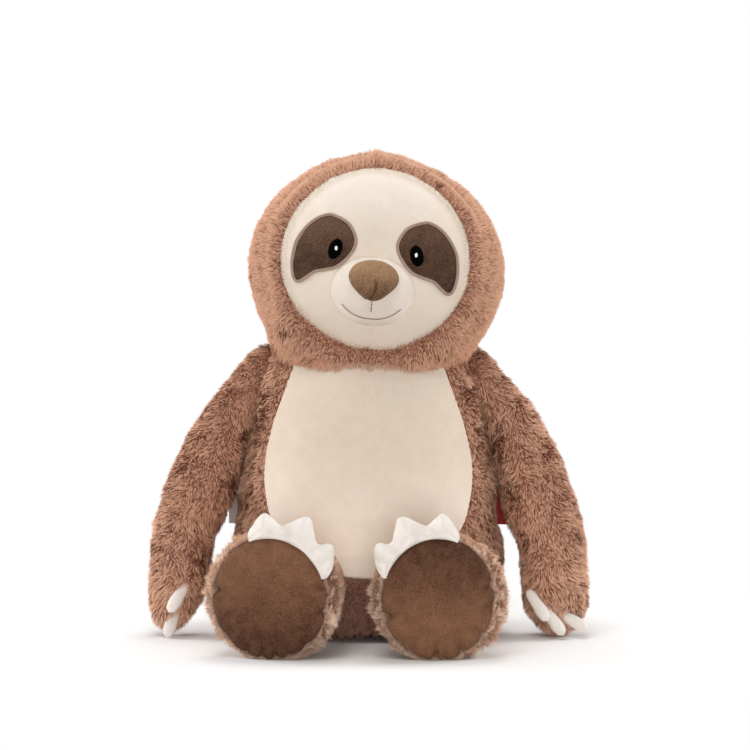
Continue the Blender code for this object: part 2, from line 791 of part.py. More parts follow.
def make_arm(root, side, flip, claws, torso_pieces):
    """One arm on its shoulder pivot; flip is 1 on the toy's left and -1 on its right."""
    slope, yaw = math.radians(SHOULDER_SLOPE), math.radians(SHOULDER_YAW)
    outward = Vector(
        (flip * math.cos(slope) * math.cos(yaw), math.cos(slope) * math.sin(yaw), math.sin(slope))
    )
    hanging = Vector((0, 0, -1))
    hanging = (hanging - outward * hanging.dot(outward)).normalized()
    hanging = Matrix.Rotation(-flip * math.radians(ARM_REST_SWING), 3, outward) @ hanging
    shoulder = Vector((flip * TORSO_WIDTH * SHOULDER_SHARE / 2, 0, SHOULDER_HEIGHT))
    frame = frame_matrix(outward, hanging.cross(outward), hanging, shoulder)
    arm = empty(f"shoulder_{side}", root, frame)

    cover = ring_mesh(f"arm_fur_{side}", arm_rings(0), arm_rings(PILE_CLOTH))
    fur = place_piece(f"arm_fur_{side}", cover, "brown_plush", arm)
    filling = ring_mesh(f"arm_stuffing_{side}", arm_rings(PILE_CLOTH + FILL_GAP, 2))
    stuffing = place_piece(f"arm_stuffing_{side}", filling, "polyester_fibre", arm)

    half_gap = SEAM_GAP / 2
    reach = ARM_THICKNESS
    low = Vector((-reach, -reach, -ARM_TOP - CUT_OVERRUN))
    seam = block_mesh(f"arm_seam_{side}", low, Vector((half_gap, reach, SHOULDER_SEAM_LENGTH)))
    seam_cutter = place_cutter(f"arm_seam_{side}", seam, arm)
    boolean(fur, "DIFFERENCE", seam_cutter)
    boolean(stuffing, "DIFFERENCE", seam_cutter)
    reach = TORSO_WIDTH / 2
    high = Vector((CUT_OVERRUN, reach, reach))
    facet = block_mesh(f"torso_facet_{side}", Vector((-half_gap, -reach, -reach)), high)
    facet_cutter = place_cutter(f"torso_facet_{side}", facet, arm)
    for piece in torso_pieces:
        boolean(piece, "DIFFERENCE", facet_cutter)

    hand = ring_mesh(f"hand_form_{side}", arm_rings(-SEAM_GAP))
    hand_cutter = place_cutter(f"hand_form_{side}", hand, arm)
    for number, ends in enumerate(claws, 1):
        base, tip = (
            Vector((out * ARM_THICKNESS, flip * ahead * ARM_THICKNESS, down * ARM_LENGTH))
            for out, ahead, down in ends
        )
        along = (tip - base).normalized()
        matrix = along.to_track_quat("Z", "Y").to_matrix().to_4x4()
        matrix = Matrix.Translation(tip - along * CLAW_LENGTH) @ matrix
        name = f"hand_claw_{side}_{number}"
        claw = place_piece(name, claw_mesh(name), "white_velour", arm, matrix)
        boolean(claw, "DIFFERENCE", hand_cutter)


# Legs


def leg_rows(inset):
    """Rows of the leg in its own frame, from the back of the hip to the sole's seam."""
    radius = HIP_RADIUS - inset
    half_width, half_height = LEG_WIDTH / 2 - inset, LEG_HEIGHT / 2 - inset
    rows = []
    steps = 4
    for step in range(steps + 1):
        angle = math.pi / 2 * step / steps
        rows.append((-radius * math.cos(angle), 0, radius * math.sin(angle), radius * math.sin(angle)))
    for along, wide, high in LEG_SHARES:
        rows.append((along * LEG_LENGTH, 0, wide * half_width, high * half_height))
    return rows


def leg_filling(inset):
    """The closed form inside the leg's cover, flat at the sole's end."""
    rings = loft_rings(leg_rows(inset), LEG_SIDES // 2, 2, 1)
    return rings + [[Vector((0, 0, rings[-1][0].z))]]


def hip_hollow():
    """The space that the leg sweeps in the torso: a ball that opens to a funnel."""
    radius = HIP_RADIUS + HIP_GAP
    rows = []
    for share in HOLLOW_BALL_SHARES:
        angle = math.pi / 2 * share
        rows.append((-radius * math.cos(angle), 0, radius * math.sin(angle), radius * math.sin(angle)))
    for along, wide in HOLLOW_FUNNEL_SHARES:
        rows.append((along * HIP_RADIUS, 0, wide * HIP_RADIUS, wide * HIP_RADIUS))
    return loft_rings(rows, LEG_SIDES, 2, 1) + [[Vector((0, 0, rows[-1][0]))]]


def crown_outline(flip):
    """The foot claws' outline in the sole's plane; flip is the side of the other foot."""
    inner = []
    span = CROWN_END_ANGLE - CROWN_START_ANGLE
    for step in range(CROWN_INNER_STEPS + 1):
        angle = math.radians(CROWN_END_ANGLE - span * step / CROWN_INNER_STEPS)
        half_x, half_y = SOLE_WIDTH / 2 + SEAM_GAP, SOLE_LENGTH / 2 + SEAM_GAP
        inner.append(Vector((flip * half_x * math.sin(angle), half_y * math.cos(angle), 0)))
    outer = []
    count = (len(CROWN_SHARES) - 1) * 2
    for step in range(count + 1):
        degrees, reach = smooth_row(CROWN_SHARES, step / 2)
        angle, radius = math.radians(degrees), reach * CROWN_REACH
        outer.append(Vector((flip * radius * math.sin(angle), radius * math.cos(angle), 0)))
    return inner + outer


def make_leg(root, side, flip, splay, torso_pieces):
    """One leg on its hip pivot, its own Z towards the foot and its Y up."""
    angle = math.radians(splay)
    forward = Vector((flip * math.sin(angle), -math.cos(angle), 0))
    across = Vector((0, 0, 1)).cross(forward)
    hip = Vector((flip * HIP_APART / 2, -HIP_FORWARD, SOLE_HEIGHT))
    leg = empty(f"hip_{side}", root, frame_matrix(across, Vector((0, 0, 1)), forward, hip))

    outer = loft_rings(leg_rows(0), LEG_SIDES, 2, 1)
    inner = loft_rings(leg_rows(PILE_CLOTH), LEG_SIDES, 2, 1)
    fur = place_piece(f"leg_fur_{side}", ring_mesh("leg_fur", outer + inner[::-1]), "peach_plush", leg)
    filling = ring_mesh("leg_stuffing", leg_filling(PILE_CLOTH + FILL_GAP))
    place_piece(f"leg_stuffing_{side}", filling, "polyester_fibre", leg)
    reach = LEG_WIDTH
    low = Vector((-reach, -SOLE_HEIGHT - CUT_OVERRUN, -reach))
    floor = block_mesh("leg_floor", low, Vector((reach, -SOLE_HEIGHT, 2 * reach)))
    boolean(fur, "DIFFERENCE", place_cutter(f"leg_floor_{side}", floor, leg))

    start = LEG_LENGTH + SEAM_GAP
    half_x, half_y = SOLE_WIDTH / 2, SOLE_LENGTH / 2
    seam = start + SOLE_CLOTH
    rows = [(start, 0, 0, 0), (start, 0, half_x, half_y), (seam, 0, half_x, half_y)]
    for wide, high in SOLE_SHARES:
        rows.append((seam + high * SOLE_CROWN, 0, wide * half_x, wide * half_y))
    sole = ring_mesh("sole", loft_rings(rows, SOLE_SIDES, 2, 1))
    place_piece(f"sole_{side}", sole, "brown_velour", leg)

    low, high = Vector((0, 0, start)), Vector((0, 0, start + CROWN_CLOTH))
    inward = -1 if across.x * flip > 0 else 1
    crown = prism_mesh("foot_claws", crown_outline(inward), low, high)
    place_piece(f"foot_claws_{side}", crown, "white_velour", leg)

    hollow = place_cutter(f"hip_hollow_{side}", ring_mesh("hip_hollow", hip_hollow()), leg)
    for piece in torso_pieces:
        boolean(piece, "DIFFERENCE", hollow)


# Labels


def make_label(name, finish_name, root, flip, height, width, torso_form):
    """A folded tape that stands out of the torso's side seam."""
    edge = TORSO_WIDTH / 2 - LABEL_SET_IN
    low = Vector((edge - LABEL_DEPTH, LABEL_BACK, height - width / 2))
    high = Vector((edge, LABEL_BACK + LABEL_CLOTH, height + width / 2))
    if flip < 0:
        low.x, high.x = -high.x, -low.x
    label = place_piece(name, block_mesh(name, low, high), finish_name, root)
    boolean(label, "DIFFERENCE", torso_form)


def build():
    clear_scene()
    new_collection("plush_sloth")
    new_collection("cutters", helper=True)
    root = empty("seat_centre", None, Matrix.Translation((0, TORSO_BACK_SET, 0)))
    torso_pieces = make_torso(root)
    make_leg(root, "left", 1, LEFT_SPLAY, torso_pieces)
    make_leg(root, "right", -1, RIGHT_SPLAY, torso_pieces)
    cut_neck(make_head(root), torso_pieces)
    make_arm(root, "left", 1, LEFT_CLAW_SHARES, torso_pieces)
    make_arm(root, "right", -1, RIGHT_CLAW_SHARES, torso_pieces)
    fur, belly, _ = torso_pieces
    cut_floor_and_belly(root, fur, belly)
    form = place_cutter("torso_form", ring_mesh("torso_form", torso_rings(-SEAM_GAP)), root)
    make_label("care_label", "white_tape", root, -1, CARE_LABEL_HEIGHT, CARE_LABEL_WIDTH, form)
    make_label("side_tag", "red_tape", root, 1, SIDE_TAG_HEIGHT, SIDE_TAG_WIDTH, form)


build()
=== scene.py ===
"""The looks of a seated plush sloth: sewn covers, long pile, velour panels and embroidery.

Sizes are in metres, in the part's own frame: +X is the toy's left, the toy looks along -Y.
"""

import math

import bmesh
import bpy
import numpy as np
from mathutils import Matrix, Vector
from mathutils.kdtree import KDTree


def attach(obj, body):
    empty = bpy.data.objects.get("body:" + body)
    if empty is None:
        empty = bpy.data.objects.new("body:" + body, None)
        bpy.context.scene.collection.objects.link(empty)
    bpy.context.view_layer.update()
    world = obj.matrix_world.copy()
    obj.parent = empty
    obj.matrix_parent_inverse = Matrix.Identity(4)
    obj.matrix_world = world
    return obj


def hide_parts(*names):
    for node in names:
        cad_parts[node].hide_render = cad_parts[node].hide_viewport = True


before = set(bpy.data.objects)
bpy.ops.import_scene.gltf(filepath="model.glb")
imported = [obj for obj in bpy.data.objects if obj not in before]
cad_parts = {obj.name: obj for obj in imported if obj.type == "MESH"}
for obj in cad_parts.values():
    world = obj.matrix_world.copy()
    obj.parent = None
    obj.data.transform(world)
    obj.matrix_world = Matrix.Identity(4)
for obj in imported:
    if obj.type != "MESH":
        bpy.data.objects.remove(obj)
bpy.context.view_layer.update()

MM = 0.001
UP = np.array((0.0, 0.0, 1.0))
FRONT = np.array((0.0, -1.0, 0.0))

# Small sums on points


def unit(vectors):
    return vectors / np.maximum(np.linalg.norm(vectors, axis=-1, keepdims=True), 1e-12)


def dot(a, b):
    return (a * b).sum(-1)


def ease(low, high, value):
    """0 below low, 1 above high and smooth between them."""
    share = np.clip((value - low) / (high - low), 0, 1)
    return share * share * (3 - 2 * share)


def hump(value, middle, width):
    """1 where value is middle, falling to nearly 0 two widths from it."""
    return np.exp(-(((value - middle) / width) ** 2))


def smooth_rows(rows, places):
    """The rows at places counted in rows, on a smooth curve through them all."""
    rows, places = np.asarray(rows, float), np.asarray(places, float)
    first = np.clip(places.astype(int), 0, len(rows) - 2)
    share = (places - first)[..., None]
    before, start, end, after = (
        rows[np.clip(first + step, 0, len(rows) - 1)] for step in (-1, 0, 1, 2)
    )
    slope, next_slope, rise = (end - before) / 2, (after - start) / 2, end - start
    bend, twist = 3 * rise - 2 * slope - next_slope, slope + next_slope - 2 * rise
    return start + share * (slope + share * (bend + share * twist))


def smooth_loop(corners, count):
    """Points on a smooth closed outline through corners."""
    corners = np.asarray(corners, float)
    wrapped = np.concatenate((corners[-1:], corners, corners[:2]))
    return smooth_rows(wrapped, 1 + np.arange(count) * len(corners) / count)


def soft_noise(points, size, seed=0):
    """Smooth noise from -1 to 1 over points, about size from one bump to the next."""
    place = np.asarray(points, float) / size + 31.7 * (seed + 1)
    cell = np.floor(place).astype(np.int64)
    part = place - cell
    part = part * part * (3 - 2 * part)
    total = 0
    for corner in np.ndindex(2, 2, 2):
        at = cell + corner
        key = at[..., 0] * 374761393 + at[..., 1] * 668265263 + at[..., 2] * 2147483647
        key = (key ^ (key >> 13)) * 1274126177
        value = ((key ^ (key >> 16)) & 0xFFFF) / 32767.5 - 1
        weight = np.where(np.array(corner) == 1, part, 1 - part).prod(-1)
        total = total + value * weight
    return total


def cloudy(points, size, seed=0):
    """Soft noise with half as strong bumps of half the size on it."""
    return (soft_noise(points, size, seed) + 0.5 * soft_noise(points, size / 2, seed + 5)) / 1.5


def lumps(points, seed, large, small):
    """How uneven filling lifts a cover: large lumps and small ones, each a height and a size."""
    (high, wide), (low, narrow) = large, small
    return high * cloudy(points, wide, seed) + low * cloudy(points, narrow, seed + 1)


def turn_matrix(x_axis, y_axis, z_axis, place):
    matrix = np.eye(4)
    matrix[:3, 0], matrix[:3, 1], matrix[:3, 2], matrix[:3, 3] = x_axis, y_axis, z_axis, place
    return matrix


def moved(matrix, points):
    return points @ matrix[:3, :3].T + matrix[:3, 3]


def turned(matrix, vectors):
    return vectors @ matrix[:3, :3].T


def within(matrix, points):
    """Points as they lie in the frame that matrix places."""
    return moved(np.linalg.inv(matrix), points)


# Where the toy's parts lie

TORSO_PLACE = np.array((0, 0.042, 0))
TORSO_HALF_WIDTH, TORSO_HALF_DEPTH, TORSO_HEIGHT = 0.110, 0.084, 0.231
TORSO_SQUARENESS = 2.3
TORSO_ROWS = np.array(
    (
        # height, width and depth, each as a share of the torso's own
        (0.000, 0.000, 0.00),
        (0.000, 0.340, 0.32),
        (0.001, 0.620, 0.60),
        (0.022, 0.800, 0.78),
        (0.075, 0.915, 0.90),
        (0.175, 0.980, 0.97),
        (0.300, 1.000, 1.00),
        (0.430, 0.970, 0.99),
        (0.560, 0.905, 0.95),
        (0.690, 0.840, 0.88),
        (0.800, 0.785, 0.80),
        (0.890, 0.710, 0.70),
        (0.955, 0.560, 0.56),
        (0.990, 0.330, 0.33),
        (1.000, 0.000, 0.00),
    )
)

BELLY_HALF_WIDTH, BELLY_BOTTOM, BELLY_DROP = 0.0835, 0.050, 0.181
BELLY_CENTRE = np.array((0, 0.140))
BELLY_ROWS = np.array(
    (
        # one side's outline from below: shares of the half width and of the panel's height
        (0.00, 0.00),
        (0.36, 0.02),
        (0.68, 0.10),
        (0.90, 0.22),
        (0.99, 0.36),
        (1.00, 0.50),
        (0.93, 0.66),
        (0.81, 0.82),
        (0.71, 0.95),
    )
)

HEAD_PLACE = np.array((0.0065, 0.037, 0.289))
HEAD_LEAN = math.radians(5)
HEAD_HALF_WIDTH, HEAD_TOP, HEAD_BOTTOM, HEAD_FRONT, HEAD_BACK = 0.1015, 0.095, 0.079, 0.080, 0.082
HEAD = turn_matrix(
    (math.cos(HEAD_LEAN), 0, -math.sin(HEAD_LEAN)),
    (0, 1, 0),
    (math.sin(HEAD_LEAN), 0, math.cos(HEAD_LEAN)),
    HEAD_PLACE,
)
FACE_CENTRE = np.array((-0.0019, 0.0104))
FACE_HALF = np.array((0.0730, 0.0705))

SHOULDER_APART, SHOULDER_HEIGHT = 0.1578, 0.2005
SHOULDER_SLOPE, SHOULDER_YAW, ARM_SWING = math.radians(20), math.radians(4), math.radians(8)
ARM_LENGTH, ARM_HALF = 0.214, 0.028
ARM_ROWS = np.array(
    (
        # along as a share of the length, then the middle's offset, half thickness and half depth
        (-0.140, 0.20, 0.00, 0.00),
        (-0.130, 0.20, 0.30, 0.36),
        (-0.100, 0.26, 0.46, 0.58),
        (-0.050, 0.34, 0.58, 0.76),
        (0.020, 0.43, 0.66, 0.88),
        (0.150, 0.67, 0.76, 0.90),
        (0.250, 0.83, 0.78, 0.92),
        (0.370, 0.89, 0.86, 0.95),
        (0.490, 0.83, 0.93, 0.98),
        (0.610, 0.72, 0.98, 1.00),
        (0.710, 0.62, 0.99, 0.99),
        (0.805, 0.53, 0.92, 0.93),
        (0.885, 0.46, 0.79, 0.80),
        (0.950, 0.42, 0.58, 0.60),
        (0.988, 0.40, 0.28, 0.30),
        (1.000, 0.40, 0.00, 0.00),
    )
)
CLAW_LENGTH, CLAW_WIDTH = 0.032, 0.0105
CLAWS = {
    # root and tip in the arm's frame: outwards, forwards and down
    "left": (
        ((-0.0125, 0.0190, 0.1780), (-0.0085, 0.0300, 0.2000)),
        ((-0.0060, 0.0170, 0.1930), (0.0000, 0.0260, 0.2150)),
        ((0.0070, 0.0135, 0.2015), (0.0195, 0.0215, 0.2175)),
    ),
    "right": (
        ((0.0057, 0.0200, 0.1787), (0.0087, 0.0310, 0.1990)),
        ((0.0063, 0.0110, 0.1950), (0.0045, 0.0150, 0.2190)),
        ((0.0040, -0.0060, 0.1900), (0.0030, -0.0125, 0.2125)),
    ),
}

HIP_APART, HIP_AHEAD, SOLE_HEIGHT = 0.105, 0.034, 0.0468
LEG_LENGTH, HIP_RADIUS = 0.0798, 0.036
FOOT_SHIFT = {"left": 0.0032, "right": -0.0046}
FOOT_WIDER = {"left": 1.0, "right": 1.045}
LEG_HALF_WIDTH, LEG_HALF_HEIGHT = 0.0515, 0.0473
SPLAY = {"left": math.radians(2), "right": math.radians(12)}
LEG_ROWS = np.array(
    (
        # along, half width and half height, each as a share of the leg's own
        (0.18, 0.750, 0.800),
        (0.41, 0.850, 0.890),
        (0.64, 0.950, 0.970),
        (0.82, 1.000, 1.000),
        (0.93, 0.985, 0.995),
        (1.00, 0.915, 0.985),
    )
)
SOLE_HALF = np.array((0.0417, 0.04565))

# How thick each pad is at its seam
PAD_DEPTH = {
    "belly": 0.0030,
    "face": 0.0025,
    "muzzle": 0.0040,
    "nose": 0.0020,
    "eye_patch": 0.0018,
    "eye": 0.0015,
    "glint": 0.0010,
}
# How close the cloth of the covers comes to the floor, and how far apart sewn pieces lie
LOWEST_CLOTH, SEAM_GAP = 0.0016, 0.0003
# How deep each cover's cloth lies under its solid's surface, which its pile fills up
BODY_DEPTH, HEAD_DEPTH, ARM_DEPTH, LEG_DEPTH = 0.0040, 0.0036, 0.0036, 0.0044

SIDES = (("left", 1), ("right", -1))


def arm_matrix(flip):
    """The arm's frame: X outwards from the seam, Y forwards and Z down the arm."""
    slope, yaw = SHOULDER_SLOPE, SHOULDER_YAW
    outward = Vector(
        (flip * math.cos(slope) * math.cos(yaw), math.cos(slope) * math.sin(yaw), math.sin(slope))
    )
    hanging = Vector((0, 0, -1))
    hanging = (hanging - outward * hanging.dot(outward)).normalized()
    hanging = Matrix.Rotation(-flip * ARM_SWING, 3, outward) @ hanging
    forward = hanging.cross(outward) * flip
    place = (flip * SHOULDER_APART / 2, TORSO_PLACE[1], SHOULDER_HEIGHT)
    return turn_matrix(outward, forward, hanging, place)


def leg_matrix(side, flip):
    """The leg's frame: X towards the other leg, Y up and Z towards the sole."""
    splay = SPLAY[side]
    forward = np.array((flip * math.sin(splay), -math.cos(splay), 0))
    inward = np.array((-flip * math.cos(splay), -math.sin(splay), 0))
    return turn_matrix(inward, UP, forward, (flip * HIP_APART / 2, -HIP_AHEAD, SOLE_HEIGHT))


# Grids, meshes and pieces


def ring_grid(rows, sides, squareness=2.0):
    """Rings of points for rows of height, middle x, half x and half y."""
    angle = np.arange(sides) * math.tau / sides
    across, along = np.cos(angle), np.sin(angle)
    power = 2 / squareness
    x = np.sign(across) * np.abs(across) ** power
    y = np.sign(along) * np.abs(along) ** power
    height, middle, half_x, half_y = (rows[:, None, number] for number in range(4))
    return np.stack((middle + x * half_x, y * half_y, height + 0 * x), -1)


def grid_normals(points, outward=None):
    """The normals of a grid of rings; they point away from the rings' middles."""
    around = np.roll(points, -1, 1) - np.roll(points, 1, 1)
    normals = np.cross(around, np.gradient(points, axis=0))
    small = np.linalg.norm(normals, axis=-1) < 1e-12
    normals = unit(normals)
    for row, near in ((0, 1), (-1, -2)):
        if small[row].all():
            normals[row] = unit(normals[near].mean(0))
    away = points - points.reshape(-1, 3).mean(0) if outward is None else outward
    return normals * (1 if dot(normals, away).mean() > 0 else -1)


def tube_normals(points):
    """The normals of a grid whose rings lie along a bent tube."""
    return grid_normals(points, points - points.mean(1, keepdims=True))


def make_mesh(name, points, corners, sizes):
    """A mesh from points, the corners of its faces in one row and each face's corner count."""
    mesh = bpy.data.meshes.new(name)
    mesh.vertices.add(len(points))
    mesh.vertices.foreach_set("co", np.ascontiguousarray(points, np.float32).ravel())
    mesh.loops.add(len(corners))
    mesh.loops.foreach_set("vertex_index", np.ascontiguousarray(corners, np.int32))
    mesh.polygons.add(len(sizes))
    mesh.polygons.foreach_set("loop_start", (np.cumsum(sizes) - sizes).astype(np.int32))
    mesh.update(calc_edges=True)
    mesh.shade_smooth()
    return mesh


def grid_faces(rows, columns, around=True):
    """The four-cornered faces between neighbouring points of a grid."""
    index = np.arange(rows * columns).reshape(rows, columns)
    beside = np.roll(index, -1, 1) if around else index[:, 1:]
    index = index if around else index[:, :-1]
    quads = np.stack((index[:-1], beside[:-1], beside[1:], index[1:]), -1)
    return quads.reshape(-1, 4)


def tidy(mesh):
    """Join points that lie on each other and turn all faces outwards."""
    surface = bmesh.new()
    surface.from_mesh(mesh)
    bmesh.ops.remove_doubles(surface, verts=surface.verts[:], dist=1e-6)
    bmesh.ops.recalc_face_normals(surface, faces=surface.faces[:])
    surface.to_mesh(mesh)
    surface.free()
    mesh.shade_smooth()


def grid_mesh(name, points, around=True):
    """One mesh skinned over a grid of points."""
    quads = grid_faces(*points.shape[:2], around)
    mesh = make_mesh(name, points.reshape(-1, 3), quads.ravel(), np.full(len(quads), 4))
    tidy(mesh)
    return mesh


def show(name, mesh, material):
    piece = bpy.data.objects.new(name, mesh)
    bpy.context.scene.collection.objects.link(piece)
    mesh.materials.append(material)
    return piece


def dress(piece, body, nodes=()):
    """Say what a piece rides on and the nodes it stands for."""
    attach(piece, body)
    if nodes:
        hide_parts(*nodes)
    return piece


def add_piece(name, points, material, body, nodes=()):
    """Skin a grid of points as a piece and dress it."""
    return dress(show(name, grid_mesh(name, points), material), body, nodes)


def inflate(piece, fuller, pressure, cap, held):
    """Fill a piece as its stuffing does: cloth blown up from inside, held where it is sewn.

    fuller is how much larger the cloth is cut, cap the farthest that a point may move, and
    held gives the share, from 0 to 1, to which each point is held.
    """
    scene, mesh, last_frame = bpy.context.scene, piece.data, 20
    rest = np.empty(len(mesh.vertices) * 3, np.float32)
    mesh.vertices.foreach_get("co", rest)
    rest = rest.reshape(-1, 3)
    share = np.clip(held(rest.astype(float)), 0, 1)
    sewn = piece.vertex_groups.new(name="sewn")
    for number, weight in enumerate(share):
        sewn.add([number], float(weight), "REPLACE")
    filling = piece.modifiers.new("filling", "CLOTH")
    cloth = filling.settings
    cloth.quality, cloth.mass = 6, 0.15
    cloth.tension_stiffness = cloth.compression_stiffness = 12
    cloth.shear_stiffness, cloth.bending_stiffness = 6, 0.05
    cloth.use_pressure, cloth.uniform_pressure_force = True, pressure
    cloth.shrink_min, cloth.vertex_group_mass = -fuller, "sewn"
    cloth.effector_weights.gravity = 0
    filling.collision_settings.use_collision = False
    filling.point_cache.frame_start, filling.point_cache.frame_end = 1, last_frame
    for number in range(1, last_frame + 1):
        scene.frame_set(number)
    full = piece.evaluated_get(bpy.context.evaluated_depsgraph_get()).data
    found = np.empty(len(mesh.vertices) * 3, np.float32)
    full.vertices.foreach_get("co", found)
    piece.modifiers.remove(filling)
    piece.vertex_groups.remove(sewn)
    scene.frame_set(1)
    move = found.reshape(-1, 3) - rest
    far = np.linalg.norm(move, axis=1, keepdims=True)
    move *= cap * np.tanh(far / cap) / np.maximum(far, 1e-9)
    mesh.vertices.foreach_set("co", (rest + move).ravel())
    mesh.update()


class Form:
    """A body of rings: rows of height, middle x, half x and half y in a frame of its own."""

    def __init__(self, rows, matrix, squareness=2.0):
        self.rows, self.matrix, self.squareness = np.asarray(rows, float), matrix, squareness

    def grid(self, count, sides):
        rows = smooth_rows(self.rows, np.linspace(0, len(self.rows) - 1, count))
        rows[:, 2:] = np.maximum(rows[:, 2:], 0)
        return moved(self.matrix, ring_grid(rows, sides, self.squareness))

    def spread(self, points):
        """How far out points lie, as a share of the form's own reach at their height."""
        local = within(self.matrix, points)
        order = np.maximum.accumulate(self.rows[:, 0] + np.arange(len(self.rows)) * 1e-9)
        middle, half_x, half_y = (
            np.interp(local[..., 2], order, self.rows[:, number], left=0, right=0)
            for number in (1, 2, 3)
        )
        across = np.abs(local[..., 0] - middle) / np.maximum(half_x, 1e-5)
        along = np.abs(local[..., 1]) / np.maximum(half_y, 1e-5)
        power = self.squareness
        return (np.minimum(across, 50) ** power + np.minimum(along, 50) ** power) ** (1 / power)


# Pile

RANDOM = np.random.default_rng(11)
ROOT_DEPTH = 0.0012
# The points of a strand: two at the root, two in the middle and the tip. The corners of its two
# faces, how far each point's shading turns from the cloth's to the strand's own, and where each
# corner lies on the palette: across by the strand's tone, up by its place along the strand.
STRAND_POINTS, STRAND_CORNERS, STRAND_FACES = 5, np.array((0, 1, 3, 2, 2, 3, 4)), (4, 3)
STRAND_SHADING = np.array((0.35, 0.35, 0.5, 0.5, 0.6))
PALETTE_ACROSS = np.array((-1, 1, 1, -1, -1, 1, 0)) * 0.004
PALETTE_UP = np.array((0, 0, 0.1, 0.1, 0.1, 0.1, 0.2))


def spun(vectors, axes, angles):
    """Vectors turned about axes that they stand square to."""
    angles = np.asarray(angles)[..., None]
    return vectors * np.cos(angles) + np.cross(axes, vectors) * np.sin(angles)


def scatter(skin, density):
    """Places spread evenly over a skin, with all that the skin knows there, as one table each."""
    points = skin["point"]
    beside = np.roll(points, -1, 1)
    area = np.linalg.norm(np.cross(beside[1:] - points[:-1], beside[:-1] - points[1:]), axis=-1) / 2
    weight = np.cumsum((area * np.maximum(skin["growth"][:-1], 0)).ravel())
    count = int(weight[-1] * density)
    picks = (np.arange(count) + RANDOM.random(count)) / count * weight[-1]
    cell = np.minimum(np.searchsorted(weight, picks), len(weight) - 1)
    row, column = np.divmod(cell, points.shape[1])
    after = (column + 1) % points.shape[1]
    down, side = RANDOM.random(count), RANDOM.random(count)
    found = {}
    for key, values in skin.items():
        s, d = (side, down) if values.ndim == 2 else (side[:, None], down[:, None])
        upper = values[row, column] * (1 - s) + values[row, after] * s
        lower = values[row + 1, column] * (1 - s) + values[row + 1, after] * s
        found[key] = upper * (1 - d) + lower * d
    found["normal"] = unit(found["normal"])
    return found


def lay_pile(found, seed):
    """The middle and the tip of each strand, before the strands gather in tufts."""
    point, normal = found["point"], found["normal"]
    swirl = 0.75 * soft_noise(point, 0.017, seed) + 0.70 * soft_noise(point, 0.006, seed + 1)
    swirl = found["swirl"] * swirl + RANDOM.normal(0, 0.22, len(point))
    nap = found["nap"] - normal * dot(found["nap"], normal)[:, None]
    nap = spun(unit(nap), normal, swirl)
    lean = found["lean"] + 0.30 * soft_noise(point, 0.006, seed + 2)
    lean = np.clip(lean + RANDOM.normal(0, 0.12, len(point)), 0.05, 1.35)[:, None]
    length = (found["length"] * (1 + 0.14 * soft_noise(point, 0.010, seed + 3)))[:, None]
    length = length * (0.82 + 0.28 * RANDOM.random((len(point), 1)))
    start = np.maximum(lean - 0.42, 0)
    middle = point + 0.52 * length * (normal * np.cos(start) + nap * np.sin(start))
    end = np.minimum(lean + 0.30, 1.5)
    tip = middle + 0.50 * length * (normal * np.cos(end) + nap * np.sin(end))
    curl = np.stack([soft_noise(point, 0.0034, seed + number) for number in (13, 14, 15)], -1)
    curl = curl * length * found["curl"][:, None]
    return middle + 0.35 * curl, tip + curl - normal * np.minimum(dot(curl, normal), 0)[:, None]


def grow_pile(name, skin, material, seed, density=1.05e6, tuft=0.0036, width=0.52 * MM):
    """A mesh of strands rooted all over a skin and gathered in tufts.

    density is how many grow on a square metre and tuft how far apart the tufts stand.
    """
    strands = scatter(skin, density)
    tufts = scatter(skin, 1 / tuft**2)
    middle, tip = lay_pile(strands, seed)
    tuft_middle, tuft_tip = lay_pile(tufts, seed)
    tree = KDTree(len(tufts["point"]))
    for number, place in enumerate(tufts["point"]):
        tree.insert(place, number)
    tree.balance()
    warped = strands["point"] + 0.0016 * np.stack(
        [soft_noise(strands["point"], 0.003, seed + number) for number in (7, 8, 9)], -1
    )
    near = np.array([tree.find(place)[1] for place in warped])
    gather = (strands["gather"] * (0.62 + 0.5 * RANDOM.random(len(near))))[:, None]
    middle += (tuft_middle[near] - middle) * gather * 0.42
    tip += (tuft_tip[near] - tip) * gather
    root, normal = strands["point"] - strands["normal"] * ROOT_DEPTH, strands["normal"]
    along = unit(tip - root)
    flat = unit(np.cross(along, normal) + 1e-9)
    flat = spun(flat, along, RANDOM.normal(0, 0.6, len(near)))
    wide = flat * (width * (0.75 + 0.5 * RANDOM.random((len(near), 1)))) / 2
    points = np.stack((root - wide, root + wide, middle - wide * 0.95, middle + wide * 0.95, tip), 1)
    corners = np.arange(len(near))[:, None] * STRAND_POINTS + STRAND_CORNERS
    sizes = np.tile(STRAND_FACES, len(near))
    mesh = make_mesh(name, points.reshape(-1, 3), corners.ravel(), sizes)
    face = unit(np.cross(along, flat))
    face *= np.sign(dot(face, normal) + 1e-9)[:, None]
    shading = unit(normal[:, None] + STRAND_SHADING[:, None] * face[:, None])
    mesh.normals_split_custom_set_from_vertices(shading.reshape(-1, 3))
    tone = 0.5 + strands["tone"] + 0.10 * soft_noise(strands["point"], 0.030, seed + 4)
    tone = tone + 0.13 * soft_noise(tufts["point"], 0.004, seed + 6)[near]
    tone = np.clip(tone + RANDOM.normal(0, 0.07, len(near)), 0.03, 0.97)[:, None]
    corners = np.stack((tone + PALETTE_ACROSS, 0 * tone + PALETTE_UP), -1)
    palette = mesh.uv_layers.new(name="OFBake")
    palette.data.foreach_set("uv", corners.astype(np.float32).ravel())
    return show(name, mesh, material)


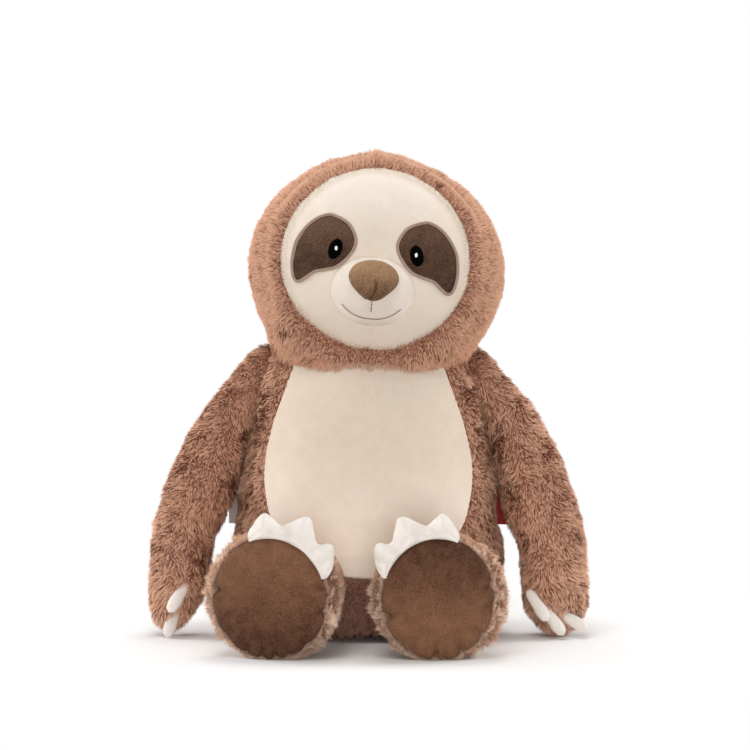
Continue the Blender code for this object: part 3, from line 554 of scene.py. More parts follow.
def pile_skin(points, normals, nap, **facts):
    """What a grid tells the pile; facts are numbers or grids of numbers.

    length is in metres and lean in radians from upright. growth is how densely strands grow,
    tone how light they are, swirl how much they turn from the nap, gather how far they close up in
    tufts and curl how much they bend.
    """
    shape = points.shape[:2]
    skin = {"point": points, "normal": normals, "nap": np.broadcast_to(nap, points.shape) + 0.0}
    known = {
        "length": 0.0060,
        "lean": 0.74,
        "tone": 0.0,
        "growth": 1.0,
        "swirl": 1.0,
        "gather": 0.34,
        "curl": 0.30,
    }
    for key, value in {**known, **facts}.items():
        skin[key] = np.broadcast_to(value, shape) + 0.0
    return skin


# Materials


def linear(red, green, blue):
    """A colour written as a screen shows it, from 0 to 255, as light."""
    shares = [value / 255 for value in (red, green, blue)]
    return tuple(s / 12.92 if s <= 0.04045 else ((s + 0.055) / 1.055) ** 2.4 for s in shares)


class Value:
    """A shader socket that takes Python's own signs."""

    def __init__(self, finish, socket):
        self.finish, self.socket = finish, socket

    def sum(self, operation, *others):
        return self.finish.node("ShaderNodeMath", {"operation": operation}, *others)

    def __add__(self, other):
        return self.sum("ADD", self, other)

    def __mul__(self, other):
        return self.sum("MULTIPLY", self, other)

    __radd__, __rmul__ = __add__, __mul__


class Finish:
    """A material built from sums on its sockets."""

    def __init__(self, name, roughness, specular, sheen=0.0):
        self.material = bpy.data.materials.new(name)
        self.material.use_nodes = True
        self.tree = self.material.node_tree
        self.shader = self.tree.nodes["Principled BSDF"]
        self.shader.inputs["Roughness"].default_value = roughness
        self.shader.inputs["Sheen Weight"].default_value = sheen
        self.shader.inputs["Specular IOR Level"].default_value = specular

    def put(self, socket, value):
        if isinstance(value, Value):
            self.tree.links.new(value.socket, socket)
        elif isinstance(value, tuple) and socket.type == "RGBA":
            socket.default_value = (*value, 1)
        else:
            socket.default_value = value

    def node(self, kind, settings, *values, output=0, **named):
        made = self.tree.nodes.new(kind)
        for key, value in settings.items():
            setattr(made, key, value)
        for socket, value in zip([s for s in made.inputs if s.enabled], values):
            self.put(socket, value)
        for key, value in named.items():
            self.put(made.inputs[key], value)
        outputs = [s for s in made.outputs if s.enabled]
        return Value(self, outputs[output] if isinstance(output, int) else made.outputs[output])

    def place(self):
        return self.node("ShaderNodeTexCoord", {}, output="Object")

    def parts(self, vector):
        """The X, Y and Z of a vector."""
        split = self.node("ShaderNodeSeparateXYZ", {}, vector).socket.node
        return [Value(self, socket) for socket in split.outputs]

    def noise(self, size, detail, roughness):
        """Noise from 0 to 1 with bumps about size apart."""
        return self.node(
            "ShaderNodeTexNoise",
            {},
            Vector=self.place(),
            Scale=1 / size,
            Detail=detail,
            Roughness=roughness,
        )

    def mix(self, share, first, second):
        return self.node("ShaderNodeMix", {"data_type": "RGBA"}, share, first, second)

    def range(self, value, low, high, out_low=0.0, out_high=1.0):
        kind = {"interpolation_type": "SMOOTHSTEP"}
        return self.node("ShaderNodeMapRange", kind, value, low, high, out_low, out_high)

    def colour(self, value):
        self.put(self.shader.inputs["Base Color"], value)

    def bump(self, height, depth):
        """Let a height from 0 to 1 stand up to depth above the surface."""
        made = self.node("ShaderNodeBump", {}, Height=height, Distance=depth, Strength=1.0)
        self.put(self.shader.inputs["Normal"], made)


def pile_finish(name, shade, root, middle, tip, light, sheen=0.12):
    """Pile: dark at the root, with lighter tips on the strands of lighter tone.

    shade and light are the tips of the darkest and lightest strands, and root, middle and tip the
    colours along a strand. The palette says each strand's tone and the place along it.
    """
    finish = Finish(name, roughness=0.72, sheen=sheen, specular=0.12)
    finish.shader.inputs["Sheen Tint"].default_value = (*linear(*light), 1)
    tone, share, _ = finish.parts(finish.node("ShaderNodeUVMap", {"uv_map": "OFBake"}))
    along = share * 5
    low = finish.mix(finish.range(along, 0.0, 0.75), linear(*root), linear(*middle))
    high = finish.mix(finish.range(along, 0.0, 0.9), linear(*shade), linear(*light))
    base = finish.mix(finish.range(tone, 0.15, 0.95), low, high)
    # The colour goes over to a mix of middle and tip towards the strand's tip
    tip_mix = finish.mix(tone, linear(*middle), linear(*tip))
    finish.colour(finish.mix(finish.range(along, 0.35, 1.0) * 0.75, base, tip_mix))
    return finish.material


def velour_finish(name, colour, shade, mottle, grain, depth=0.00022, nap=0, low=0, high=1):
    """Short nap: fine grain, small patches where the nap leans another way, and a soft sheen.

    mottle and grain are the strengths of the patches and of the grain, and depth is the grain's in
    metres. nap is painted shade and light: how much darker the cloth is painted at the height low
    than at the height high.
    """
    size = 0.0011
    finish = Finish(name, roughness=0.95, sheen=0.05, specular=0.1)
    finish.shader.inputs["Sheen Roughness"].default_value = 0.4
    patches = finish.range(finish.noise(0.011, 3.0, 0.6), 0.35, 0.68)
    fine = finish.range(finish.noise(size, 3.0, 0.65), 0.3, 0.72)
    share = patches * mottle + fine * grain
    # Painted shade and light: the colour is painted darker towards the height low and lighter towards the
    # height high
    if nap:
        height = finish.parts(finish.place())[2]
        if low < high:
            painted_shade = finish.range(height, low, high, 1.0, 0.0)
        else:
            painted_shade = finish.range(height, high, low, 0.0, 1.0)
        share = share * 0.9 + painted_shade * nap
    finish.colour(finish.mix(share, linear(*colour), linear(*shade)))
    finish.bump(finish.noise(size * 0.8, 3.0, 0.7), depth)
    return finish.material


def thread_finish(name, colour, shade, roughness=0.5, specular=0.4):
    """Thread: fine streaks of a second shade."""
    finish = Finish(name, roughness=roughness, specular=specular)
    streaks = finish.noise(0.0006, 2.0, 0.6)
    finish.colour(finish.mix(finish.range(streaks, 0.3, 0.7), linear(*colour), linear(*shade)))
    finish.bump(streaks, 0.0001)
    return finish.material


def backing_finish(name, colour, shade):
    """The cloth that the pile grows from, mottled as the pile hides more or less of it."""
    finish = Finish(name, roughness=1.0, specular=0.0)
    share = finish.range(finish.noise(0.0025, 3.0, 0.6), 0.3, 0.7)
    finish.colour(finish.mix(share, linear(*colour), linear(*shade)))
    finish.bump(share, 0.0004)
    return finish.material


BROWN = pile_finish(
    "Brown pile",
    shade=(172, 121, 97),
    root=(142, 93, 73),
    middle=(210, 157, 128),
    tip=(238, 196, 166),
    light=(230, 180, 150),
)
# A darker copy of the brown pile for the seat between the feet: painted shade
PAINTED_SHADE_BROWN = pile_finish(
    "Brown pile, seat",
    shade=(122, 84, 70),
    root=(90, 56, 46),
    middle=(156, 114, 97),
    tip=(180, 140, 121),
    light=(172, 131, 112),
)
PEACH = pile_finish(
    "Peach pile",
    shade=(210, 162, 137),
    root=(178, 128, 105),
    middle=(236, 192, 164),
    tip=(253, 230, 210),
    light=(250, 218, 194),
    sheen=0.6,
)
CREAM_PILE = pile_finish(
    "Cream pile",
    shade=(238, 222, 204),
    root=(232, 214, 196),
    middle=(242, 228, 212),
    tip=(250, 240, 228),
    light=(246, 234, 220),
)
BROWN_CLOTH = backing_finish("Brown backing", (162, 112, 90), (134, 88, 70))
WHITE_NAP = {"mottle": 0.2, "grain": 0.25, "depth": 0.00018}
DARK_NAP = {"depth": 0.0004, "mottle": 0.2, "grain": 0.6}
# The soles' grain, with 0.5 of painted shade by height
SOLE_GRAIN_AND_SHADE = {"depth": 0.0004, "mottle": 0.2, "grain": 0.45, "nap": 0.5}
SOLE_COLOURS = (138, 99, 74), (62, 37, 27)
WHITE = velour_finish("White velour", (233, 226, 219), (219, 209, 200), **WHITE_NAP)
# The muzzle is painted darker at its top and lighter at its bottom: painted shade and light
MUZZLE = velour_finish(
    "Muzzle velour", (234, 223, 212), (208, 194, 180), **WHITE_NAP, nap=0.45, low=0.290, high=0.248
)
# The face is painted lighter towards its top and darker lower down: painted light and shade
FACE = velour_finish(
    "Face velour",
    (237, 228, 218),
    (222, 205, 186),
    mottle=0.15,
    grain=0.3,
    nap=0.55,
    low=0.310,
    high=0.378,
)
# The belly is painted darker at its top, under the chin, and lighter towards its bottom: painted shade
# and light
BELLY = velour_finish(
    "Belly velour",
    (242, 229, 214),
    (211, 192, 173),
    mottle=0.12,
    grain=0.22,
    nap=0.55,
    low=0.165,
    high=0.070,
)
# The eye patches are painted lighter at their tops and darker at their bottoms: painted light and shade
DARK = velour_finish(
    "Dark velour", (116, 88, 70), (52, 34, 26), **DARK_NAP, nap=0.35, low=0.300, high=0.335
)
# Two copies of the sole's velour: the left sole is painted darker at its top, the right one darker at its
# bottom; painted shade and light
SOLE_FINISHES = {
    "left": velour_finish("Brown velour, left", *SOLE_COLOURS, **SOLE_GRAIN_AND_SHADE, low=0.09, high=0.01),
    "right": velour_finish("Brown velour, right", *SOLE_COLOURS, **SOLE_GRAIN_AND_SHADE, low=0.01, high=0.09),
}
# The nose is painted lighter at its top and darker at its bottom: painted light and shade
NOSE = velour_finish(
    "Nose velour",
    (172, 138, 104),
    (86, 58, 42),
    depth=0.0004,
    mottle=0.15,
    grain=0.6,
    nap=0.5,
    low=0.270,
    high=0.300,
)
EDGE_THREAD = thread_finish("Edge thread", (178, 152, 136), (140, 114, 100))
BLACK_THREAD = thread_finish("Black thread", (5, 4, 4), (2, 2, 2), roughness=0.9, specular=0.03)
WHITE_THREAD = thread_finish("White thread", (246, 246, 246), (226, 226, 226))
BROWN_THREAD = thread_finish("Brown thread", (140, 116, 102), (104, 82, 70))
# The care tape is painted light grey, not white: painted shade for where it lies beside the arm
WHITE_TAPE = thread_finish("White tape", (206, 204, 208), (192, 190, 196), roughness=0.7, specular=0.2)
RED_TAPE = thread_finish("Red tape", (176, 28, 34), (150, 20, 26), roughness=0.6, specular=0.3)

# The forms that lie side by side


def torso_rows():
    rows = np.zeros((len(TORSO_ROWS), 4))
    rows[:, 0] = TORSO_ROWS[:, 0] * TORSO_HEIGHT
    rows[:, 2] = TORSO_ROWS[:, 1] * TORSO_HALF_WIDTH
    rows[:, 3] = TORSO_ROWS[:, 2] * TORSO_HALF_DEPTH
    return rows


def arm_rows():
    return ARM_ROWS * (ARM_LENGTH, ARM_HALF, ARM_HALF, ARM_HALF)


def leg_rows():
    rows = [
        (-HIP_RADIUS * math.cos(angle), 0, HIP_RADIUS * math.sin(angle), HIP_RADIUS * math.sin(angle))
        for angle in np.linspace(0, math.pi / 2, 5)
    ]
    rows += [(a * LEG_LENGTH, 0, w * LEG_HALF_WIDTH, h * LEG_HALF_HEIGHT) for a, w, h in LEG_ROWS]
    return np.array(rows)


PLACED = np.eye(4)
PLACED[:3, 3] = TORSO_PLACE
TORSO = Form(torso_rows(), PLACED, TORSO_SQUARENESS)
# The torso as its cover lies: drawn in at the shoulders, under the arms and the head
SHOULDERS = Form(torso_rows(), PLACED, TORSO_SQUARENESS)
SHOULDERS.rows[10:14, 2] = TORSO_HALF_WIDTH * np.array((0.82, 0.80, 0.77, 0.66))
SHOULDERS.rows[11:14, 3] = TORSO_HALF_DEPTH * np.array((0.72, 0.64, 0.46))
ARMS = {side: Form(arm_rows(), arm_matrix(flip)) for side, flip in SIDES}
LEGS = {side: Form(leg_rows(), leg_matrix(side, flip)) for side, flip in SIDES}


def head_share(points):
    """How far out points lie, as a share of the head's own reach in their direction."""
    local = within(HEAD, points)
    x, y, z = (local[..., number] for number in range(3))
    deep = np.where(y < 0, HEAD_FRONT, HEAD_BACK)
    high = np.where(z > 0, HEAD_TOP, HEAD_BOTTOM)
    return np.sqrt((x / HEAD_HALF_WIDTH) ** 2 + (y / deep) ** 2 + (z / high) ** 2)


def under_head(points, gap):
    """Points that would lie in the head, moved down to the gap under it and its hood's loose edge."""
    local = within(HEAD, points)
    rest = 1 - (local[..., 0] / HEAD_HALF_WIDTH) ** 2 - (local[..., 1] / HEAD_FRONT) ** 2
    loose_edge = 0.0065 * ease(0.040, 0.0, local[..., 1])
    floor = -HEAD_BOTTOM * np.sqrt(np.maximum(rest, 0)) - gap - loose_edge
    local[..., 2] = np.where(rest > 0, np.minimum(local[..., 2], floor), local[..., 2])
    return moved(HEAD, local)


def face_share(x, z):
    """How far out from the face's middle, as a share of its outline's reach."""
    return np.hypot((x - FACE_CENTRE[0]) / FACE_HALF[0], (z - FACE_CENTRE[1]) / FACE_HALF[1])


def belly_outline(count=160):
    """The belly panel's outline in X and Z, closed over the torso's top."""
    rows = smooth_rows(BELLY_ROWS, np.linspace(0, len(BELLY_ROWS) - 1, count // 2))
    side = rows * (BELLY_HALF_WIDTH, BELLY_DROP) + (0, BELLY_BOTTOM)
    side = np.concatenate((side, side[-1:] + ((0.0, 0.030),)))
    return np.concatenate((side, (side * (-1, 1))[::-1]))


BELLY_EDGE = belly_outline()
BELLY_EDGE_AT = np.arctan2(BELLY_EDGE[:, 1] - BELLY_CENTRE[1], BELLY_EDGE[:, 0])
BELLY_EDGE_REACH = np.hypot(BELLY_EDGE[:, 0], BELLY_EDGE[:, 1] - BELLY_CENTRE[1])


def belly_reach(angle):
    order = np.argsort(BELLY_EDGE_AT)
    return np.interp(angle, BELLY_EDGE_AT[order], BELLY_EDGE_REACH[order], period=math.tau)


def belly_share(points):
    """How far out from the belly's middle points lie, as a share of the panel's reach."""
    x, z = points[..., 0], points[..., 2] - BELLY_CENTRE[1]
    share = np.hypot(x, z) / belly_reach(np.arctan2(z, x))
    return np.where(points[..., 1] < TORSO_PLACE[1], share, 9.0)


# Body

# Where the waist is drawn in, how far up and down that reaches, and how deep it is at each side
WAIST_HEIGHT, WAIST_REACH, WAIST_DEPTH = 0.096, 0.023, {"left": 0.0085, "right": 0.0058}


def make_body():
    count, sides = ((150, 240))
    points = SHOULDERS.grid(count, sides)
    normals = grid_normals(points)
    x, y, z = (points[..., number] for number in range(3))
    belly, sideways = belly_share(points), np.abs(normals[..., 0])
    near_edge = hump(belly, 1.06, 0.05)
    relief = lumps(points, 1, large=(0.0012, 0.030), small=(0.0005, 0.007))
    beside = ease(0.55, 0.95, sideways) * ease(0.060, 0.100, z)
    waist = hump(z, WAIST_HEIGHT, WAIST_REACH) * ease(0.5, 0.9, sideways)
    sink = BODY_DEPTH + 0.0030 * ease(1.02, 0.96, belly) - 0.0014 * near_edge - 0.0034 * beside
    sink = sink + waist * np.where(x < 0, WAIST_DEPTH["right"], WAIST_DEPTH["left"])
    skin = points + normals * (relief - sink)[..., None]
    for side, _ in SIDES:
        arm = ARMS[side].matrix
        beyond = dot(skin - arm[:3, 3], arm[:3, 0]) + 0.0002
        skin = skin - np.maximum(beyond, 0)[..., None] * arm[:3, 0]
    skin = under_head(skin, 0.002)
    skin[..., 2] = np.maximum(skin[..., 2], LOWEST_CLOTH)
    add_piece(
        "body_cover", skin, BROWN_CLOTH, "torso", ("body_fur", "body_stuffing")
    )

    bare = np.ones_like(z)
    for side, _ in SIDES:
        bare = bare * ease(0.93, 1.0, LEGS[side].spread(points))
        bare = bare * ease(0.80, 0.95, ARMS[side].spread(points))
    growth = ease(0.972, 0.995, belly) * ease(0.90, 0.94, head_share(points)) * ease(0.0, 0.012, z)
    under = ease(0.085, 0.045, z) * ease(0.03, -0.01, y)
    # Painted shade: the pile's tone is darker on the toy's left side and darker still under the belly
    tone = 0.22 - 0.09 * ease(-0.05, 0.05, x) - 0.30 * under
    nap = np.array((0, -0.10, -1.0)) + 0 * points
    nap[..., 0] = 0.25 * np.sign(x)
    pile = pile_skin(
        skin,
        grid_normals(skin),
        nap,
        growth=growth * (0.5 + 0.5 * bare),
        # The tone is also darker towards the bottom
        tone=tone - 0.05 * ease(0.12, 0.02, z),
        lean=0.88 - 0.25 * near_edge,
        length=(0.0062 - 0.0014 * near_edge) * (0.45 + 0.55 * bare),
    )
    ahead = y < TORSO_PLACE[1]
    # The seat under the belly, between the feet, grows the darker pile: painted shade
    seat = under * ease(0.085, 0.050, np.abs(x)) * ahead
    for name, keep, finish, density in (
        ("front", ahead - seat, BROWN, 1.05e6),
        ("back", ~ahead, BROWN, 0.95e6),
        ("seat", seat, PAINTED_SHADE_BROWN, 1.05e6),
    ):
        part = dict(pile, growth=pile["growth"] * keep)
        grown = grow_pile(f"body_pile_{name}", part, finish, density=density, seed=20)
        dress(grown, "torso")


def torso_front(x, z):
    """How far forward the torso's cloth lies at x and z, in the toy's frame."""
    rows = SHOULDERS.rows
    order = np.maximum.accumulate(rows[:, 0] + np.arange(len(rows)) * 1e-9)
    wide = np.interp(z, order, rows[:, 2])
    deep = np.interp(z, order, rows[:, 3])
    rest = np.clip(1 - np.minimum(np.abs(x) / np.maximum(wide, 1e-6), 1) ** TORSO_SQUARENESS, 0, 1)
    return TORSO_PLACE[1] - deep * rest ** (1 / TORSO_SQUARENESS)


def pad_grid(surface, centre, reach, rows, sides):
    """Shares out from the middle, and points of a pad spread over a surface of x and z."""
    share = np.linspace(0, 1, rows) ** 0.9
    angle = np.arange(sides) * math.tau / sides
    spread = share[:, None] * reach(angle)[None]
    x = centre[0] + spread * np.cos(angle)
    z = centre[1] + spread * np.sin(angle)
    return share[:, None] + 0 * x, np.stack((x, surface(x, z), z), -1)


def closed_pad(front, depth):
    """A pad's front and a plain back, depth behind it, in one grid."""
    back = front[::-1].copy()
    back[..., 1] += depth
    return np.concatenate((front, back))


def make_belly():
    rows, sides = 90, 200
    share, points = pad_grid(torso_front, BELLY_CENTRE, belly_reach, rows, sides)
    normals = grid_normals(points, FRONT)
    folds = np.sin(points[..., 2] / 0.0085 + 2.2 * soft_noise(points, 0.035, 4))
    folds = folds * np.clip(soft_noise(points, 0.028, 5), 0, 1)
    crown = 0.0010 + 0.0008 * (1 - share**2)
    tuck = 0.0062 * ease(0.955, 1.0, share) ** 1.5
    relief = 0.0005 * folds * ease(1.0, 0.8, share) + 0.0007 * cloudy(points, 0.022, 6)
    ring = 0.0004 * np.sin(np.arange(sides) * sides / 9) * ease(0.75, 0.93, share)
    front = under_head(points + normals * (crown + relief + ring - tuck)[..., None], 0.0)
    points = closed_pad(front, PAD_DEPTH["belly"])
    add_piece("belly_cloth", points, BELLY, "torso", ("belly_panel",))


# Head


def head_points(rows, sides):
    """The head's own surface from the front pole to the back pole, in its own frame."""
    polar = np.linspace(0, math.pi, rows)[:, None]
    angle = (np.arange(sides) * math.tau / sides)[None]
    deep = np.where(polar < math.pi / 2, HEAD_FRONT, HEAD_BACK)
    high = np.where(angle < math.pi, HEAD_TOP, HEAD_BOTTOM)
    x = HEAD_HALF_WIDTH * np.sin(polar) * np.cos(angle)
    z = high * np.sin(polar) * np.sin(angle)
    return np.stack((x, -deep * np.cos(polar) + 0 * x, z), -1)


def head_front(x, z):
    """How far back the face's cloth lies at x and z, in the head's frame."""
    high = np.where(z > 0, HEAD_TOP, HEAD_BOTTOM)
    rest = 1 - (x / HEAD_HALF_WIDTH) ** 2 - (z / high) ** 2
    return -HEAD_FRONT * np.sqrt(np.maximum(rest, 0))


HEAD_FULLER = (
    # degrees from the toy's left over the top, and how much fuller the head is there in mm
    (0, 35, 55, 72, 88, 105, 125, 160, 195, 210, 226, 242, 258, 275, 298, 314, 330, 345),
    (0.0, -0.5, -3.0, -2.8, -1.0, -1.0, -0.5, 0.5, 0.8, 4.5, 10.0, 9.5, 8.5, 8.0, 8.0, 8.0, 3.5, 0.5),
)
HEAD_HANG = (
    # mm from the toy's middle to its left, and how much lower the hood's lower edge hangs there
    (-82, -78, -73, -67, -60, -50, -39, 0, 45, 66, 76, 84, 90),
    (0.0, 1.2, 4.4, 8.6, 11.2, 11.2, 10.0, 8.4, 5.8, 6.6, 4.4, 1.4, 0.0),
)


def add_head_pad(name, front, depth, material, node):
    """A pad sewn on the head, from its front in the head's frame and its depth."""
    points = moved(HEAD, closed_pad(front, depth))
    return add_piece(name, points, material, "head", node)


def make_head():
    rows, sides = ((190, 240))
    points = head_points(rows, sides)
    normals = grid_normals(points)
    x, y, z = (points[..., number] for number in range(3))
    share = face_share(x, z) + 3 * ease(-0.005, 0.02, y)
    gap = (share - 1) * 0.072
    turn = np.degrees(np.arctan2(z, x)) % 360
    fuller = np.interp(turn, *HEAD_FULLER, period=360) * MM * ease(0.25, 0.8, np.hypot(x, z) / 0.09)
    under = ease(0.0, -0.03, z) * ease(-0.045, 0.01, y)
    fuller = fuller * (1 - 0.75 * under * ease(0.06, 0.02, np.abs(x)))
    upper_right = 0.5 + 0.5 * hump(turn, 50, 40)
    rim = 0.0052 * upper_right * hump(gap, 0.0065, 0.0060) - 0.0060 * ease(0.002, -0.004, gap)
    rim = rim + 0.0012 * hump(gap, 0.018, 0.012)
    rim = rim - 0.0022 * ease(20, 45, turn) * ease(160, 140, turn) * hump(gap, 0.0125, 0.0022)
    seam = hump(x, -0.0075, 0.0042) * ease(0.02, 0.06, z)
    crest = seam * (0.0012 + 0.0022 * hump(y, -0.020, 0.022))
    relief = lumps(points, 11, large=(0.0013, 0.034), small=(0.0004, 0.008))
    skin = points + normals * (rim + relief + crest + fuller - HEAD_DEPTH)[..., None]
    hang = np.interp(moved(HEAD, points)[..., 0] / MM, *HEAD_HANG) * MM
    hang = hang * ease(-0.001, 0.008, gap) * ease(-0.018, -0.052, z) * ease(0.040, 0.0, y)
    skin[..., 2] -= 0.85 * hang
    cover = moved(HEAD, skin)
    add_piece(
        "head_cover", cover, BROWN_CLOTH, "head", ("head_fur", "head_stuffing")
    )

    loose = np.minimum(hang / 0.006, 1)
    away = points - np.array((FACE_CENTRE[0], 0, FACE_CENTRE[1]))
    away[..., 1] = 0
    away = unit(away) * (1.6 - 1.1 * ease(0.01, 0.06, y))[..., None]
    nap = away + np.array((0, 0.9, -0.35))
    nap[..., 2] -= 1.2 * ease(0.0, 0.06, y) + 0.8 * loose
    nap[..., 1] -= 1.0 * loose
    inside = ease(0.010, 0.0, gap)
    behind = ease(-0.045, 0.06, y)
    notch = hump(x, FACE_CENTRE[0], 0.006) * inside
    # Painted light and shade: the pile is lighter towards the head's top and lighter just inside the
    # face's rim, where it lies in shade; it is darker in a narrow band at the face's middle next to the
    # rim
    tone = -0.03 + 0.10 * inside - 0.25 * notch + 0.12 * ease(0.03, 0.09, z)
    pile = pile_skin(
        cover,
        turned(HEAD, grid_normals(skin)),
        turned(HEAD, nap),
        growth=ease(-0.0035, -0.0010, gap) * (1.3 + 0.5 * loose),
        lean=0.72 - 0.36 * ease(0.007, 0.0, gap) + 0.08 * behind,
        length=0.0044 - 0.0010 * inside + 0.0016 * behind + 0.42 * hang,
        # Painted shade: the pile is darker towards the bottom of the head
        tone=tone - 0.10 * ease(0.0, -0.05, z),
        swirl=1.2,
        gather=0.30,
        curl=0.34,
    )
    grain = {"density": 0.93e6, "tuft": 0.0030, "seed": 40, "width": 0.54 * MM}
    for name, keep in (("left", x >= 0), ("right", x < 0)):
        part = dict(pile, growth=pile["growth"] * keep)
        dress(grow_pile(f"head_pile_{name}", part, BROWN, **grain), "head")


def ellipse_reach(half_wide, half_high, lean=0.0):
    def reach(angle):
        turn = angle - lean
        return 1 / np.hypot(np.cos(turn) / half_wide, np.sin(turn) / half_high)

    return reach


def outline_reach(shares, half_wide, half_high, flip=1):
    """The reach of an outline from its own middle, for any angle."""
    loop = smooth_loop(shares, 240) * (flip * half_wide, half_high)
    angle, far = np.arctan2(loop[:, 1], loop[:, 0]), np.hypot(loop[:, 0], loop[:, 1])
    order = np.argsort(angle)

    def reach(at):
        at = (at + math.pi) % math.tau - math.pi
        return np.interp(at, angle[order], far[order], period=math.tau)

    return reach


def make_face():
    reach = ellipse_reach(*(FACE_HALF + 0.0008))
    share, points = pad_grid(head_front, FACE_CENTRE, reach, 90, 200)
    normals = grid_normals(points, FRONT)
    x, z = points[..., 0] - FACE_CENTRE[0], points[..., 2]
    forehead = 0.0007 * hump(x, 0, 0.0022) * ease(0.030, 0.050, z)
    chin = -0.0012 * hump(x, 0, 0.0020) * ease(-0.042, -0.050, z)
    tuck = 0.0040 * ease(0.975, 1.0, share) ** 1.5
    relief = lumps(points, 21, large=(0.0006, 0.020), small=(0.00025, 0.006))
    lift = 0.0002 + forehead + chin + relief - tuck
    front = points + normals * lift[..., None]
    depth = PAD_DEPTH["face"]
    add_head_pad("face_cloth", front, depth, FACE, ("face_panel",))
    skin = pile_skin(
        moved(HEAD, front),
        turned(HEAD, grid_normals(front, FRONT)),
        turned(HEAD, unit(points - points[:1]) + 0.4 * FRONT),
        growth=ease(0.90, 0.97, share) * ease(1.0, 0.985, share),
        length=0.0024,
        lean=1.0,
        gather=0.1,
        tone=0.3,
        curl=0.15,
    )
    grain = {"density": 2.4e6, "tuft": 0.0022, "seed": 45, "width": 0.34 * MM}
    dress(grow_pile("face_rim_pile", skin, CREAM_PILE, **grain), "head")


MUZZLE_HALF, MUZZLE_RISE = np.array((0.0325, 0.0270)), 0.026
MUZZLE_CENTRE = np.array((FACE_CENTRE[0], -0.0140))


def muzzle_front(x, z):
    """How far back the muzzle's cloth lies at x and z, in the head's frame."""
    across, up = (x - MUZZLE_CENTRE[0]) / MUZZLE_HALF[0], (z - MUZZLE_CENTRE[1]) / MUZZLE_HALF[1]
    share = np.hypot(across, up)
    return head_front(x, z) - MUZZLE_RISE * np.sqrt(np.maximum(1 - share**2, 0)) - SEAM_GAP


def dome_grid(surface, centre, reach, rise, rows, sides, fullness=2.0):
    """A dome over a surface, its rows crowded where it falls to the seam."""
    polar = np.linspace(0, math.pi / 2, rows)[:, None]
    angle = (np.arange(sides) * math.tau / sides)[None]
    spread = np.sin(polar) * reach(angle)
    x, z = centre[0] + spread * np.cos(angle), centre[1] + spread * np.sin(angle)
    lift = rise * np.cos(polar) ** (2 / fullness)
    return np.sin(polar) + 0 * x, np.stack((x, surface(x, z) - lift, z), -1)


def make_muzzle():
    reach = ellipse_reach(*MUZZLE_HALF)
    _, points = dome_grid(head_front, MUZZLE_CENTRE, reach, MUZZLE_RISE, 60, 140)
    relief = 0.0004 * cloudy(points, 0.012, 31)
    points = points + grid_normals(points) * relief[..., None]
    nodes = ("muzzle_cover", "muzzle_stuffing")
    add_head_pad("muzzle", points, PAD_DEPTH["muzzle"], MUZZLE, nodes)


NOSE_SHARES = (
    # the outline from its top: shares of the half width and the half height
    (0.00, 1.00),
    (0.42, 0.92),
    (0.80, 0.64),
    (0.99, 0.20),
    (0.90, -0.22),
    (0.62, -0.60),
    (0.30, -0.91),
    (0.00, -1.00),
    (-0.30, -0.91),
    (-0.62, -0.60),
    (-0.90, -0.20),
    (-0.99, 0.25),
    (-0.80, 0.68),
    (-0.42, 0.93),
)
NOSE_CENTRE = np.array((FACE_CENTRE[0], -0.005))
NOSE_HALF_WIDTH, NOSE_HALF_HEIGHT, NOSE_RISE = 0.0195, 0.0155, 0.0082


def make_nose():
    reach = outline_reach(NOSE_SHARES, NOSE_HALF_WIDTH, NOSE_HALF_HEIGHT)
    _, points = dome_grid(muzzle_front, NOSE_CENTRE, reach, NOSE_RISE, 70, 160, fullness=2.5)
    x, z = points[..., 0] - NOSE_CENTRE[0], points[..., 2] - NOSE_CENTRE[1]
    line = 0.0022 - 0.0030 * ((z + 0.004) / 0.008) ** 2
    dart = hump(x, line, 0.0009) * ease(0.003, -0.004, z)
    lobe = hump(x - line, -0.0034, 0.0032) * ease(0.004, -0.006, z)
    relief = 0.0003 * cloudy(points, 0.007, 33)
    points[..., 1] -= 0.0016 * lobe - 0.0034 * dart + relief
    add_head_pad("nose", points, PAD_DEPTH["nose"], NOSE, ("nose",))


def thread_points(path, radius, closed=False, sides=8, flat=1.0, ripple=0.0, stitches=0, groove=0.0):
    """A thread or a row of stitches along a path.

    flat is its height beside its width, ripple how much each stitch stands up and groove how deep
    the furrow along its middle is.
    """
    along = unit(np.roll(path, -1, 0) - np.roll(path, 1, 0) if closed else np.gradient(path, axis=0))
    up = unit(FRONT - along * dot(along, FRONT)[:, None])
    beside = np.cross(along, up)
    turn = (np.arange(sides) * math.tau / sides)[None, :, None]
    place = np.arange(len(path)) / len(path) * stitches * math.tau
    swell = (1 + ripple * np.cos(place))[:, None, None]
    tall = flat * (1 - groove * hump(np.cos(turn), 0, 0.25))
    ring = beside[:, None] * np.cos(turn) + up[:, None] * np.sin(turn) * tall
    points = path[:, None] + ring * radius * swell
    if closed:
        return np.concatenate((points, points[:1]))
    ends = path[[0, -1]] + np.stack((-along[0], along[-1])) * radius * 0.8
    caps = np.repeat(ends[:, None, None], sides, 2)
    return np.concatenate((caps[0], points, caps[1]))


def lifted(surface, x, z, lift):
    """Points a lift above a surface at x and z, square to it."""
    step = 0.0008
    y = surface(x, z)
    slope_x = (surface(x + step, z) - y) / step
    slope_z = (surface(x, z + step) - y) / step
    normal = unit(np.stack((slope_x, -np.ones_like(y), slope_z), -1))
    return np.stack((x, y, z), -1) + normal * lift


SMILE_HALF_WIDTH, SMILE_ENDS, SMILE_DROP = 0.0225, -0.0252, 0.0093
NOSE_LINE_TOP, NOSE_LINE_LENGTH = -0.0202, 0.0085
SMILE_THREAD, NOSE_THREAD, THREAD_LIFT = 0.00030, 0.00034, 0.0004


